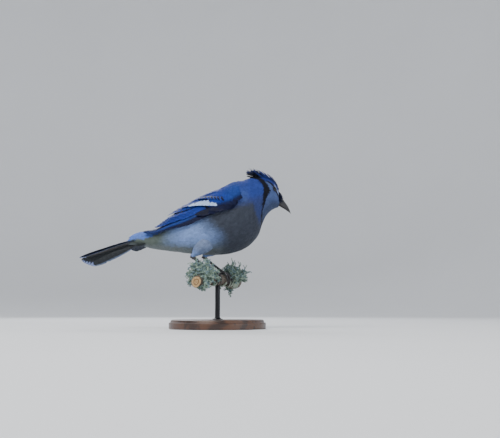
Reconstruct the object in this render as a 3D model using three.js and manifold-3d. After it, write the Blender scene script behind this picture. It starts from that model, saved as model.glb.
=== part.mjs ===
// A life-size blue jay, perched head-down on a short cut length of branch, which a rod holds over a round base.
// Millimetres, +Z up. The bird faces +X and its right side is towards -Y. The origin is the centre of the base's underside.
// The bird's own shapes are given from its foothold: the middle of the branch's top, between the two feet.
import * as THREE from "three";
import { mergeVertices } from "three/addons/utils/BufferGeometryUtils.js";
import Module from "manifold-3d";

// Driving sizes of the stand
const BASE_RADIUS = 62;
const BASE_THICKNESS = 12;
const BASE_BEVEL = 1.6;
const ROD_RADIUS = 3.2;
const PERCH_RADIUS = 7.5;
const PERCH_HALF_LENGTH = 55;
const PERCH_TOP = 70;
const PERCH_YAW = 64; // degrees from the bird's heading
const GAP = 0.3; // kept between pieces that touch
const FUSE_TOLERANCE = 0.02; // slivers thinner than this are joined away

// Driving sizes of the bird
const VANE_THICKNESS = 0.55;
const BILL_LENGTH = 21.5;
const BILL_DEPTH = 10.5;
const BILL_WIDTH = 8.8;
const EYE_RADIUS = 4.1;
const TAIL_LENGTH = 84; // from the root at the rump to the tip
const TAIL_SLOPE = 19; // degrees below level
const TAIL_ROLL = 17; // degrees, the underside turned to the bird's right
const HEAD_ROLL = 9; // degrees, the crown leaning to the bird's left
const HEAD_TURN = 5; // millimetres that the bill's root stands to the left of the spine
const BILL_PITCH = 43.5; // degrees below level
const TARSUS_RADIUS = 1.55;
const TOE_RADIUS = 1.45;

const DEG = Math.PI / 180;
const lerp = (a, b, t) => a + (b - a) * t;
const clamp = (x, low, high) => Math.min(high, Math.max(low, x));
const smooth = (low, high, x) => {
  const t = clamp((x - low) / (high - low), 0, 1);
  return t * t * (3 - 2 * t);
};
const point = (x, y, z) => new THREE.Vector3(x, y, z);

const wasm = await Module();
wasm.setup();

// Solids

// A closed mesh from vertices and triangles, turned so that its faces point out.
function solidFrom(vertices, triangles) {
  const geometry = new THREE.BufferGeometry();
  const flat = new Float32Array(vertices.flatMap((v) => [v.x, v.y, v.z]));
  geometry.setAttribute("position", new THREE.BufferAttribute(flat, 3));
  geometry.setIndex(triangles.flat());
  return solidOf(geometry);
}

// A three.js geometry as a solid.
function solidOf(geometry) {
  const bare = geometry.clone();
  bare.deleteAttribute("normal");
  bare.deleteAttribute("uv");
  const merged = mergeVertices(bare, 1e-4);
  const build = (triVerts) =>
    new wasm.Manifold(
      new wasm.Mesh({
        numProp: 3,
        vertProperties: merged.attributes.position.array,
        triVerts,
      }),
    );
  const triVerts = new Uint32Array(merged.index.array);
  const made = build(triVerts);
  if (made.volume() >= 0) return made;
  return build(triVerts.map((_, i) => merged.index.array[i - (i % 3) + [0, 2, 1][i % 3]]));
}

// The largest closed surface of a solid.
function largest(solid) {
  const pieces = solid.decompose();
  return pieces.reduce((a, b) => (b.volume() > a.volume() ? b : a));
}

// Several solids joined into one closed body.
function fuse(solids) {
  return largest(wasm.Manifold.union(solids)).simplify(FUSE_TOLERANCE);
}

function geometryOf(solid) {
  const mesh = solid.getMesh();
  const geometry = new THREE.BufferGeometry();
  const positions = new Float32Array(mesh.numVert * 3);
  for (let i = 0; i < mesh.numVert; i++) {
    positions.set(mesh.vertProperties.subarray(i * mesh.numProp, i * mesh.numProp + 3), i * 3);
  }
  geometry.setAttribute("position", new THREE.BufferAttribute(positions, 3));
  geometry.setIndex(new THREE.BufferAttribute(mesh.triVerts, 1));
  geometry.computeVertexNormals();
  return geometry;
}

// Rings of equally many points, joined in order, with a flat fan at each end.
function loft(rings) {
  const sides = rings[0].length;
  const vertices = rings.flat();
  const triangles = [];
  for (let i = 0; i + 1 < rings.length; i++) {
    for (let j = 0; j < sides; j++) {
      const a = i * sides + j;
      const b = i * sides + ((j + 1) % sides);
      triangles.push([a, a + sides, b + sides], [a, b + sides, b]);
    }
  }
  for (const i of [0, rings.length - 1]) {
    const centre = vertices.length;
    const sum = rings[i].reduce((s, v) => s.add(v), point(0, 0, 0));
    vertices.push(sum.divideScalar(sides));
    for (let j = 0; j < sides; j++) {
      const a = i * sides + j;
      const b = i * sides + ((j + 1) % sides);
      triangles.push(i ? [a, centre, b] : [a, b, centre]);
    }
  }
  return solidFrom(vertices, triangles);
}

// A tube through points, with a radius at each.
function tube(path, radii, sides) {
  const rings = path.map((p, i) => {
    const before = path[Math.max(i - 1, 0)];
    const after = path[Math.min(i + 1, path.length - 1)];
    const along = after.clone().sub(before).normalize();
    const guide = Math.abs(along.y) > 0.9 ? point(1, 0, 0) : point(0, 1, 0);
    const right = guide.clone().cross(along).normalize();
    const up = along.clone().cross(right);
    return Array.from({ length: sides }, (_, k) => {
      const turn = (2 * Math.PI * k) / sides;
      return p
        .clone()
        .addScaledVector(right, radii[i] * Math.cos(turn))
        .addScaledVector(up, radii[i] * Math.sin(turn));
    });
  });
  return loft(rings);
}

// The body: sections from the tail's root to the bill's root, each between a point of the back line and one of the belly line

const SECTIONS = [
  { at: "tail root", back: [-98.6, 55], belly: [-96.2, 35.4], half: 12 },
  { at: "rump", back: [-74, 58.5], belly: [-79.5, 31.8], half: 19 },
  { at: "loin", back: [-50, 75], belly: [-53, 28.5], half: 26.5 },
  { at: "thigh", back: [-25, 91.5], belly: [-23, 25], half: 31.5 },
  { at: "ribs", back: [-1, 105], belly: [10, 25.5], half: 34 },
  { at: "breast", back: [18, 115], belly: [35, 33], half: 32.5 },
  { at: "shoulder", back: [29, 120.5], belly: [51, 48], half: 28.5 },
  { at: "collar", back: [36, 123.5], belly: [57.5, 64.5], half: 24.5 },
  { at: "nape", back: [43.5, 126], belly: [62, 74.5], half: 21 },
  { at: "hind crown", back: [53.5, 128.5], belly: [67, 80.5], half: 18.8 },
  { at: "crown", back: [63.5, 127], belly: [71.5, 84], half: 17.2 },
  { at: "brow", back: [72.5, 121.5], belly: [75, 86], half: 14.6 },
  { at: "forehead", back: [78, 112.5], belly: [77.6, 87], half: 10.8 },
  { at: "bill root", back: [81, 101], belly: [79.2, 88.2], half: 5.6 },
];
const NECK_FROM = 7; // the neck runs from the collar to the nape
const HEAD_FROM = 8.3;
const HEAD_TO = SECTIONS.length - 1;

// A smooth curve through equally spaced values.
function through(values, t) {
  const i = clamp(Math.floor(t), 0, values.length - 2);
  const f = t - i;
  const at = (k) => {
    if (k < 0) return 2 * values[0] - values[1];
    if (k >= values.length) return 2 * values.at(-1) - values.at(-2);
    return values[k];
  };
  const [a, b, c, d] = [at(i - 1), at(i), at(i + 1), at(i + 2)];
  const bend = 2 * a - 5 * b + 4 * c - d + (3 * b - a - 3 * c + d) * f;
  return b + 0.5 * f * (c - a + f * bend);
}

const columns = {
  backX: SECTIONS.map((s) => s.back[0]),
  backZ: SECTIONS.map((s) => s.back[1]),
  bellyX: SECTIONS.map((s) => s.belly[0]),
  bellyZ: SECTIONS.map((s) => s.belly[1]),
  half: SECTIONS.map((s) => s.half),
};

// The section at station u: its middle, half height, half width, and its up and left directions.
function section(u) {
  const back = point(through(columns.backX, u), 0, through(columns.backZ, u));
  const belly = point(through(columns.bellyX, u), 0, through(columns.bellyZ, u));
  const share = smooth(NECK_FROM, HEAD_TO - 3, u);
  const roll = HEAD_ROLL * DEG * share;
  const upright = back.clone().sub(belly);
  const tall = upright.length() / 2;
  upright.normalize();
  const up = upright.clone().multiplyScalar(Math.cos(roll));
  up.y += Math.sin(roll);
  const left = upright.clone().multiplyScalar(-Math.sin(roll));
  left.y += Math.cos(roll);
  const middle = back.add(belly).multiplyScalar(0.5);
  middle.y = HEAD_TURN * smooth(NECK_FROM, HEAD_TO, u);
  return { middle, tall, half: through(columns.half, u), up, left };
}

// A point of the body's surface: v is the angle from the back line, positive towards the bird's left, and grown adds to the section's size.
function onBody(u, v, grown = 0) {
  const s = section(u);
  return s.middle
    .clone()
    .addScaledVector(s.up, (s.tall + grown) * Math.cos(v))
    .addScaledVector(s.left, (s.half + grown) * Math.sin(v));
}

// The direction out of the body's surface.
function outward(u, v) {
  const step = 0.01;
  const along = onBody(u + step, v).sub(onBody(u - step, v));
  const around = onBody(u, v + step).sub(onBody(u, v - step));
  return along.cross(around).normalize();
}

// A length of the body between two stations, in equal steps, grown outwards all round.
function bodyLength(from, to, steps, sides, grown = 0) {
  const rings = [];
  for (let i = 0; i <= steps; i++) {
    const u = lerp(from, to, i / steps);
    rings.push(
      Array.from({ length: sides }, (_, k) => onBody(u, (2 * Math.PI * k) / sides, grown)),
    );
  }
  return loft(rings);
}

const BODY_SIDES = 24;
const TORSO_STEPS = 14;
const torsoBare = bodyLength(0, NECK_FROM, TORSO_STEPS, BODY_SIDES);
const torsoGrown = bodyLength(-0.02, NECK_FROM + 0.02, TORSO_STEPS, BODY_SIDES, GAP);

// Feathers

// One vane: a thin plate between two places of a sheet. place(a, b, t) gives the point at a along and b across the sheet, t above it.
// The plate runs from one end to the other with a bend sideways, is narrow at its root and rounded at its tip, and the side away
// from its neighbour on top is lower by tuck.
function vane(place, f) {
  const shape = { bend: 0, thick: VANE_THICKNESS, tuck: 0, steps: [0, 0.38, 0.78, 1], root: 0.4, tip: 0.34, ...f };
  const da = shape.to[0] - shape.from[0];
  const db = shape.to[1] - shape.from[1];
  const long = Math.hypot(da, db);
  const rings = shape.steps.map((s) => {
    const swell = s < 0.5 ? lerp(shape.root, 1, smooth(0, 0.5, s)) : 1;
    const round = s > 0.6 ? Math.sqrt(Math.max(1 - ((s - 0.6) / 0.4) ** 2, 0)) : 1;
    const half = (shape.width / 2) * Math.max(swell * round, s > 0.9 ? shape.tip : 0);
    const side = shape.bend * Math.sin(Math.PI * s);
    const a = shape.from[0] + da * s - (db / long) * side;
    const b = shape.from[1] + db * s + (da / long) * side;
    const t = lerp(shape.lift[0], shape.lift[1], s);
    const corner = (across, above) =>
      place(
        a - (db / long) * half * across,
        b + (da / long) * half * across,
        t - shape.tuck * (across + 1) * (half / shape.width) + above * shape.thick,
      );
    return [corner(-1, 0), corner(1, 0), corner(1, -1), corner(-1, -1)];
  });
  return plate(rings);
}

// Rings of four corners, two on the upper face and two on the lower, with both faces split along the same diagonals.
function plate(rings) {
  const vertices = rings.flat();
  const triangles = [[0, 1, 2], [0, 2, 3]];
  for (let i = 0; i + 1 < rings.length; i++) {
    for (let j = 0; j < 4; j++) {
      const a = i * 4 + j;
      const b = i * 4 + ((j + 1) % 4);
      if (j === 2) triangles.push([a, a + 4, b], [b, a + 4, b + 4]);
      else triangles.push([a, a + 4, b + 4], [a, b + 4, b]);
    }
  }
  const end = vertices.length - 4;
  triangles.push([end, end + 2, end + 1], [end, end + 3, end + 2]);
  return solidFrom(vertices, triangles);
}

// The wing. Its sheet is laid on the body's side: a runs from the wrist to the tip, b up from the lower edge

const WING_LENGTH = 138;
const WING_WRIST = 5.55; // the body's station at the wrist
const WING_LOW = 76; // degrees round the body from the back line, along the wing's lower edge
const WING_LOW_TIP = 70;
const ARM_LENGTH = 66;

// Distances along the body's side, from the wrist towards the tail, as [distance, station] pairs.
const alongSide = (() => {
  const table = [[0, WING_WRIST]];
  const step = 0.05;
  const side = 40 * DEG;
  for (let u = WING_WRIST; u > -0.6; u -= step) {
    const moved = onBody(u, side).distanceTo(onBody(u - step, side));
    table.push([table.at(-1)[0] + moved, u - step]);
  }
  return table;
})();

function stationAt(a) {
  const i = clamp(alongSide.findIndex((row) => row[0] > a), 1, alongSide.length - 1);
  const [before, after] = [alongSide[i - 1], alongSide[i]];
  return lerp(before[1], after[1], (a - before[0]) / (after[0] - before[0]));
}

// How far the wing's upper face stands off the body's side.
function standOff(a) {
  return 3.4 + 1.8 * smooth(20, 60, a) + 3.2 * smooth(60, 100, a) - 1.0 * smooth(104, 128, a);
}

function wingLowEdge(a) {
  return lerp(WING_LOW, WING_LOW_TIP, smooth(60, WING_LENGTH, a)) - 5 * smooth(18, 0, a);
}

// The radius that turns a distance across the wing into an angle round the body.
function girth(a) {
  const s = section(stationAt(a));
  return (s.tall + s.half) / 2 + standOff(a);
}

// The wing's width from its lower edge to the middle of the back.
function wingWidth(a) {
  return girth(a) * (wingLowEdge(a) - 7) * DEG;
}

// side is -1 for the right wing and 1 for the left.
function wingPlace(side) {
  return (a, b, t) => {
    const u = stationAt(a);
    const v = side * (wingLowEdge(a) * DEG - b / girth(a));
    return onBody(u, v).addScaledVector(outward(u, v), standOff(a) + t);
  };
}

const PRIMARY_REACH = [0.72, 0.88, 0.96, 1, 0.985, 0.95]; // of the wing's length, from the outermost
const SECONDARIES = 4;
const TERTIALS = 3;
const GREATER_COVERTS = 6;
const PRIMARY_COVERTS = 2;
const MEDIAN_COVERTS = 4;
const SCAPULARS = 4;
const FLIGHT_STEPS = [0, 0.3, 0.62, 0.86, 1];

// The flight feathers, from the outermost primary at the lower edge to the tertials by the back.
function flightFeathers() {
  const feathers = [];
  PRIMARY_REACH.forEach((reach, i) => {
    feathers.push({
      from: [38 + 1.6 * i, 4.2 + 1.4 * i],
      to: [WING_LENGTH * reach, 2.6 + 0.9 * i],
      width: 12.5,
      bend: -0.8,
      lift: [-1.6, -0.9 + 0.2 * i],
      tuck: 2.4,
      root: 0.5,
      steps: FLIGHT_STEPS,
    });
  });
  for (let j = 0; j < SECONDARIES; j++) {
    feathers.push({
      from: [46 + j, 12.5 + 3 * j],
      to: [119 - 7 * j, 8.8 + 3 * j],
      width: 14,
      bend: 0.6,
      lift: [-1.2, 0.3 + 0.2 * j],
      tuck: 2.4,
      root: 0.5,
      steps: FLIGHT_STEPS,
    });
  }
  for (let k = 0; k < TERTIALS; k++) {
    const tip = 98 - 10 * k;
    feathers.push({
      from: [48 - 3 * k, 24 + 3.6 * k],
      to: [tip, wingWidth(tip) - 6.6 + 0.6 * k],
      width: 14.5,
      bend: 0.8,
      lift: [-0.8, 1.3 + 0.6 * k],
      tuck: 1.0,
      root: 0.55,
      steps: FLIGHT_STEPS,
    });
  }
  return feathers;
}

// The coverts and scapulars, in tiers that overlap the flight feathers' roots.
function wingCoverts() {
  const feathers = [];
  for (let i = 0; i < PRIMARY_COVERTS; i++) {
    feathers.push({
      from: [24 + 4 * i, 5 + 3.4 * i],
      to: [51 + 5 * i, 3.6 + 3.2 * i],
      width: 8.5,
      lift: [-0.8, 0.9 + 0.25 * i],
      tuck: 0.6,
    });
  }
  for (let i = 0; i < GREATER_COVERTS; i++) {
    const tip = 42 + 7 * i;
    feathers.push({
      from: [tip - 27, 11 + 4.6 * i],
      to: [tip, 9 + 4 * i],
      width: 12,
      lift: [-0.8, 1.5 + 0.2 * i],
      tuck: 0.7,
    });
  }
  for (let i = 0; i < MEDIAN_COVERTS; i++) {
    const tip = 27 + 9.5 * i;
    feathers.push({
      from: [tip - 16, 11 + 6.2 * i],
      to: [tip, 10.6 + 5.7 * i],
      width: 13.5,
      lift: [-0.9, 2.2 + 0.2 * i],
      tuck: 0.7,
    });
  }
  for (let i = 0; i < SCAPULARS; i++) {
    const tip = 36 + 11 * i;
    feathers.push({
      from: [tip - 28, wingWidth(tip - 28) - 10.5 + 1.6 * i],
      to: [tip, wingWidth(tip) - 8.6 + 0.9 * i],
      width: 12.5,
      lift: [-1.2, 2.4],
      tuck: 0.5,
    });
  }
  return feathers;
}

// The feathered arm that the wing's feathers grow from: a low mound over the body's side, blunt at the wrist.
function wingArm(place) {
  const lengths = 10;
  const widths = 6;
  const top = [];
  const under = [];
  for (let i = 0; i <= lengths; i++) {
    const s = i / lengths;
    const a = ARM_LENGTH * s;
    const blunt = Math.sqrt(1 - (1 - clamp(s * 4, 0, 1)) ** 2);
    const middle = lerp(17, wingWidth(a) * 0.52, smooth(0, 0.5, s));
    const half = (wingWidth(a) * 0.5 - 1.2) * lerp(0.3, 1, blunt);
    for (let j = 0; j <= widths; j++) {
      const r = (2 * j) / widths - 1;
      const dome = 1 - r ** 4;
      const crown = -0.7 * smooth(0.2, 0.7, s) - (1 - blunt) * 2.2 - (1 - dome) * (standOff(a) - 1.2) * 0.8;
      top.push(place(a, middle + half * r, crown));
      under.push(place(a, middle + half * r, -standOff(a) - 3));
    }
  }
  return slab(top, under, lengths, widths);
}

// A closed slab between two like grids of points.
function slab(top, under, rows, columnsAcross) {
  const wide = columnsAcross + 1;
  const count = top.length;
  const triangles = [];
  for (let i = 0; i < rows; i++) {
    for (let j = 0; j < columnsAcross; j++) {
      const a = i * wide + j;
      triangles.push([a, a + wide, a + wide + 1], [a, a + wide + 1, a + 1]);
      triangles.push([count + a, count + a + wide + 1, count + a + wide], [count + a, count + a + 1, count + a + wide + 1]);
    }
  }
  const rim = [];
  for (let j = 0; j < columnsAcross; j++) rim.push(j);
  for (let i = 0; i < rows; i++) rim.push(i * wide + columnsAcross);
  for (let j = columnsAcross; j > 0; j--) rim.push(rows * wide + j);
  for (let i = rows; i > 0; i--) rim.push(i * wide);
  rim.forEach((a, k) => {
    const b = rim[(k + 1) % rim.length];
    triangles.push([a, b, count + b], [a, count + b, count + a]);
  });
  return solidFrom([...top, ...under], triangles);
}

function wing(side) {
  const place = wingPlace(side);
  const pieces = [wingArm(place), ...[...flightFeathers(), ...wingCoverts()].map((f) => vane(place, f))];
  return largest(fuse(pieces).subtract(torsoGrown));
}

// The tail. Its sheet runs back from the root, a along, b across to the left, t above, and it rolls a little to the right

const TAIL_ROOT = onBody(0, Math.PI / 2).add(onBody(0, -Math.PI / 2)).multiplyScalar(0.5);
const RECTRICES = 6; // on each side
const TAIL_ARCH = 0.012; // how much each millimetre from the middle lowers the sheet, times that distance

function tailPlace(a, b, t) {
  const slope = TAIL_SLOPE * DEG;
  const roll = TAIL_ROLL * DEG * smooth(-14, 16, a);
  const above = t - TAIL_ARCH * b * b * smooth(-6, 12, a);
  const across = b * Math.cos(roll) + above * Math.sin(roll);
  const up = above * Math.cos(roll) - b * Math.sin(roll);
  return point(
    TAIL_ROOT.x - a * Math.cos(slope) - up * Math.sin(slope),
    across,
    TAIL_ROOT.z - a * Math.sin(slope) + up * Math.cos(slope),
  );
}

function tail() {
  const root = [];
  for (const a of [1.3, 3.4, 6]) {
    root.push(
      Array.from({ length: 12 }, (_, k) => {
        const turn = (2 * Math.PI * k) / 12;
        return tailPlace(a, (8.5 - 0.2 * a) * Math.cos(turn), (4.2 - 0.35 * a) * Math.sin(turn));
      }),
    );
  }
  const pieces = [loft(root)];
  for (const side of [-1, 1]) {
    for (let i = 0; i < RECTRICES; i++) {
      pieces.push(
        vane((a, b, t) => tailPlace(a, side * b, t), {
          from: [2, 0.9 + 0.9 * i],
          to: [TAIL_LENGTH - 0.32 * i * i, 4.2 + 2.1 * i],
          width: 17 - 0.6 * i,
          lift: [2.0 - 0.62 * i - (side > 0 ? 0.3 : 0), 2.2 - 0.86 * i - (side > 0 ? 0.43 : 0)],
          root: 0.35,
          tip: 0.35,
          steps: [0, 0.25, 0.6, 0.9, 1],
        }),
      );
    }
  }
  return fuse(pieces);
}

// Coverts above and below the tail's root, as pieces of the torso: two tiers each, the nearer one shorter.
function tailCoverts() {
  const feathers = [];
  for (const [tier, places] of [[0, [-8, -2.7, 2.7, 8]], [1, [-5.4, 0, 5.4]]]) {
    for (const b of places) {
      const round = 0.05 * b * b;
      feathers.push({
        from: [-13 - 8 * tier, b * 0.9],
        to: [14 - 11 * tier - round, b * 0.85],
        width: 8,
        lift: [5.7 + 1.4 * tier, 5.2 + 1.6 * tier],
      });
      feathers.push({
        from: [-12 - 9 * tier, b * 0.9],
        to: [23 - 13 * tier - round, b * 0.75],
        width: 8,
        lift: [-7 - 1.6 * tier, -9.8 - 1.2 * tier],
      });
    }
  }
  return feathers.map((f) => vane(tailPlace, f));
}

// The head, with its crest, lids and the hollows for the eyes

const headAhead = point(Math.cos(BILL_PITCH * DEG), 0.1, -Math.sin(BILL_PITCH * DEG)).normalize();
const EYE_STATION = 11.05;
const EYE_LEVEL = 0.2; // radians above the widest part of the head's side
const EYE_INSET = 0.8; // how far the eyeball's middle lies inside the head's side

function eyeMiddle(side) {
  const v = side * (Math.PI / 2 - EYE_LEVEL);
  return onBody(EYE_STATION, v).addScaledVector(outward(EYE_STATION, v), -EYE_INSET - EYE_RADIUS * 0.45);
}

function ball(radius, middle, wide = 14, high = 9) {
  return solidOf(new THREE.SphereGeometry(radius, wide, high)).translate(middle.toArray());
}

// A raised ring of lid round the eye.
function lid(side) {
  const v = side * (Math.PI / 2 - EYE_LEVEL);
  const facing = outward(EYE_STATION, v);
  const ring = solidOf(new THREE.TorusGeometry(EYE_RADIUS * 0.86, 0.8, 6, 14));
  const turn = new THREE.Quaternion().setFromUnitVectors(point(0, 0, 1), facing);
  const middle = eyeMiddle(side).addScaledVector(facing, EYE_RADIUS * 0.62);
  const matrix = new THREE.Matrix4().compose(middle, turn, point(1, 0.86, 1));
  return ring.transform(matrix.toArray());
}

// The crest: rows of narrow feathers from the forehead to the back of the crown, each row longer, lying back over the nape.
const CREST_ROWS = [
  { u: 12.1, count: 3, spread: 22, length: 11, rise: 1 },
  { u: 11.4, count: 3, spread: 26, length: 16, rise: 2 },
  { u: 10.7, count: 4, spread: 30, length: 20, rise: 4.2 },
  { u: 9.95, count: 4, spread: 32, length: 23, rise: 8.2 },
  { u: 9.3, count: 4, spread: 28, length: 21, rise: 11 },
  { u: 9, count: 3, spread: 24, length: 16, rise: 5 },
];

const CREST_GATHER = 0.36; // how far the outer feathers' tips turn to the middle, as a share of their length

function crest() {
  const pieces = [];
  CREST_ROWS.forEach((row, r) => {
    for (let i = 0; i < row.count; i++) {
      const share = row.count > 1 ? (2 * i) / (row.count - 1) - 1 : 0;
      const v = share * row.spread * DEG;
      const root = onBody(row.u, v).addScaledVector(outward(row.u, v), -1.2);
      const back = onBody(row.u - 0.4, v).sub(onBody(row.u, v)).normalize();
      const out = outward(row.u, v);
      const across = out.clone().cross(back).normalize();
      const long = row.length * (1 - 0.16 * share * share);
      // a is back along the crown, b across it, t out of it
      const place = (a, b, t) =>
        root
          .clone()
          .addScaledVector(back, a)
          .addScaledVector(across, b)
          .addScaledVector(out, t + 1.2 * smooth(0, 5, a) + row.rise * (Math.max(a, 0) / row.length) ** 1.6)
          .add(point(0, -0.02 * a * share, -0.0075 * a * a));
      pieces.push(
        vane(place, {
          from: [0, 0],
          to: [long, share * long * CREST_GATHER],
          width: 7.6 - 0.3 * r,
          lift: [0, 0.7 + 0.2 * r],
          thick: 0.6,
          root: 0.6,
          tip: 0.24,
          steps: [0, 0.5, 1],
        }),
      );
    }
  });
  return pieces;
}

// Short stiff tufts that lie over the bill's root and hide the nostrils.
function nasalTufts() {
  const pieces = [];
  for (const side of [-1, 1]) {
    for (let i = 0; i < 2; i++) {
      const v = side * (18 + 30 * i) * DEG;
      const root = onBody(12.6, v).addScaledVector(outward(12.6, v), -0.8);
      const out = outward(12.8, v);
      const across = out.clone().cross(headAhead).normalize();
      const place = (a, b, t) =>
        root.clone().addScaledVector(headAhead, a).addScaledVector(across, b).addScaledVector(out, t);
      pieces.push(
        vane(place, { from: [0, 0], to: [8.2, 0], width: 3, lift: [0.2, 1.5 - 0.4 * i], root: 0.8, steps: [0, 0.5, 1] }),
      );
    }
  }
  return pieces;
}

// The bill

const billSection = section(HEAD_TO);
const billUp = billSection.up.clone().addScaledVector(headAhead, -billSection.up.dot(headAhead)).normalize();
const billLeft = billUp.clone().cross(headAhead).normalize();
// The root of the bill is cut along the head's last section, which leans back from square.
const billFacing = billSection.left.clone().cross(billSection.up);
const billSlant = headAhead.dot(billFacing);

function billPlace(a, b, t) {
  const off = t * billUp.dot(billFacing) + b * billLeft.dot(billFacing);
  const back = (-off / billSlant) * (1 - smooth(0, BILL_LENGTH * 0.6, a));
  return billSection.middle
    .clone()
    .addScaledVector(headAhead, a + back)
    .addScaledVector(billLeft, b)
    .addScaledVector(billUp, t);
}

// The mouth line's height along the bill, hooked down at the tip.
function mouthLine(a) {
  return 0.4 - 1.5 * clamp(a / BILL_LENGTH, 0, 1) ** 4;
}

// One half of the bill: half a tapered cone from the root to the tip, its flat side on the mouth line.
function mandible(upper) {
  const sides = 10;
  const length = upper ? BILL_LENGTH : BILL_LENGTH * 0.93;
  const deep = upper ? BILL_DEPTH * 0.53 : BILL_DEPTH * 0.42;
  const rings = [0, 0.15, 0.35, 0.55, 0.75, 0.9, 1].map((s) => {
    const along = lerp((GAP + 0.02) / billSlant, length, s);
    const taper = 1 - 0.92 * s ** (upper ? 1.5 : 1.3);
    const narrow = 1 - 0.92 * s ** 1.05;
    return Array.from({ length: sides }, (_, k) => {
      const turn = (Math.PI * k) / (sides - 1);
      const b = (BILL_WIDTH / 2) * narrow * Math.cos(turn);
      const t = deep * taper * Math.sin(turn) ** 0.85;
      return billPlace(along, b, mouthLine(along) + (upper ? 1 : -1) * (GAP / 2 + 0.02 + t));
    });
  });
  return loft(rings);
}

// A shallow pit beside the upper bill's ridge.
function nostril(side) {
  return ball(0.8, billPlace(3.4, side * 2.8, 4.3), 6, 4);
}

// The feet and legs. A foot is given by where it stands on the branch

const perchAlong = point(Math.cos(PERCH_YAW * DEG), Math.sin(PERCH_YAW * DEG), 0);
const perchAhead = point(Math.sin(PERCH_YAW * DEG), -Math.cos(PERCH_YAW * DEG), 0);
const TOE_ORBIT = PERCH_RADIUS + GAP + TOE_RADIUS;
const FEET = [
  { name: "right", side: -1, along: -15, heel: [-32, -16, 21.5] },
  { name: "left", side: 1, along: 15, heel: [-19, 14.5, 23] },
];
const TOES = [
  { name: "inner", spread: -6.2, reach: 84, radius: 1.3 },
  { name: "middle", spread: 0.4, reach: 108, radius: 1.45 },
  { name: "outer", spread: 6.6, reach: 92, radius: 1.3 },
  { name: "hind", spread: 0.2, reach: -86, radius: 1.45 },
];
const CLAW_ARC = 50; // degrees round the branch

// A point on a circle round the branch: angle is from the top, forwards, in degrees.
function aroundPerch(along, angle, radius) {
  return perchAlong
    .clone()
    .multiplyScalar(along)
    .addScaledVector(perchAhead, radius * Math.sin(angle * DEG))
    .add(point(0, 0, radius * Math.cos(angle * DEG) - PERCH_RADIUS));
}

function toe(foot, t) {
  const path = [];
  const radii = [];
  const steps = 7;
  for (let i = 0; i <= steps; i++) {
    const s = i / steps;
    const angle = t.reach * s * 0.97;
    const along = foot.along + t.spread * smooth(0, 0.85, s);
    const radius = t.radius * (1.08 - 0.2 * s + 0.1 * Math.cos(s * 6 * Math.PI));
    path.push(aroundPerch(along, angle, TOE_ORBIT + 0.25));
    radii.push(radius);
  }
  return tube(path, radii, 6);
}

function claw(foot, t) {
  const path = [];
  const radii = [];
  const steps = 4;
  const way = Math.sign(t.reach);
  const clear = 1.1; // degrees between the toe's end and the claw
  for (let i = 0; i <= steps; i++) {
    const s = i / steps;
    const angle = t.reach * 0.97 + way * (clear + 2.2 + CLAW_ARC * s);
    const lift = 0.35 + 1.0 * Math.sin(s * Math.PI * 0.75) - 0.6 * s;
    path.push(aroundPerch(foot.along + t.spread, angle, TOE_ORBIT + lift));
    radii.push(lerp(1.15, 0.22, s ** 0.9));
  }
  return tube(path, radii, 6);
}

function footSolid(foot) {
  const pad = ball(2.5, aroundPerch(foot.along, 0, TOE_ORBIT + 1.1), 10, 6);
  return fuse([pad, ...TOES.map((t) => toe(foot, t))]).subtract(perchGrown());
}

// The scaled lower leg, from the heel down to the foot's pad.
function tarsus(foot) {
  const heel = point(...foot.heel);
  const down = aroundPerch(foot.along, 0, TOE_ORBIT + 1.1);
  const lean = down.clone().sub(heel).normalize();
  const from = heel.clone();
  const to = down.clone().addScaledVector(lean, -2.4 - GAP);
  const path = [];
  const radii = [];
  for (const [s, r] of [[0, 2.3], [0.06, 2.5], [0.16, 1.9], [0.5, 1.5], [0.85, 1.6], [1, 1.9]]) {
    path.push(from.clone().lerp(to, s));
    radii.push((r / 1.55) * TARSUS_RADIUS);
  }
  return tube(path, radii, 10);
}

// The feathered thigh, a soft cone out of the belly's side that narrows to the heel, with a hem of locks.
function thigh(foot) {
  const heel = point(...foot.heel);
  const top = point(foot.heel[0] + 24, foot.side * 17, 47);
  const lean = heel.clone().sub(top).normalize();
  const end = heel.clone().addScaledVector(lean, -3.2);
  const path = [];
  const radii = [];
  for (const [s, r] of [[0, 12], [0.3, 12.6], [0.55, 11], [0.75, 8], [0.92, 4.8], [1, 3]]) {
    path.push(top.clone().lerp(end, s));
    radii.push(r);
  }
  return largest(tube(path, radii, 14).subtract(torsoGrown));
}

// The stand

function base() {
  const r = BASE_RADIUS;
  const h = BASE_THICKNESS;
  const profile = [
    [0, 0],
    [r - BASE_BEVEL, 0],
    [r, BASE_BEVEL],
    [r, h - 5],
    [r - 1.2, h - 3.2],
    [r - 2.6, h - 2.6],
    [r - 4.2, h - 0.6],
    [r - 5.6, h],
    [0, h],
  ];
  return solidOf(new THREE.LatheGeometry(profile.map((p) => new THREE.Vector2(...p)), 36)).rotate([90, 0, 0]);
}

// The branch in the foothold's frame, round where the feet grip it and a little knobbly elsewhere.
function perchPath(grown) {
  const steps = 20;
  const path = [];
  const radii = [];
  for (let i = 0; i <= steps; i++) {
    const s = lerp(-PERCH_HALF_LENGTH - grown, PERCH_HALF_LENGTH + grown, i / steps);
    const clearOfFeet = smooth(25, 40, Math.abs(s));
    const sag = -3.2 * clearOfFeet * (Math.abs(s) / PERCH_HALF_LENGTH) ** 2 + 1.6 * clearOfFeet * Math.sin(s * 0.13);
    path.push(perchAlong.clone().multiplyScalar(s).add(point(0, 0, sag - PERCH_RADIUS)));
    radii.push(PERCH_RADIUS + grown - clearOfFeet * (0.5 + 0.5 * Math.sin(s * 0.5) ** 2));
  }
  return { path, radii };
}

function perchGrown() {
  const { path, radii } = perchPath(GAP);
  return tube(path, radii, 14);
}

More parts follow.
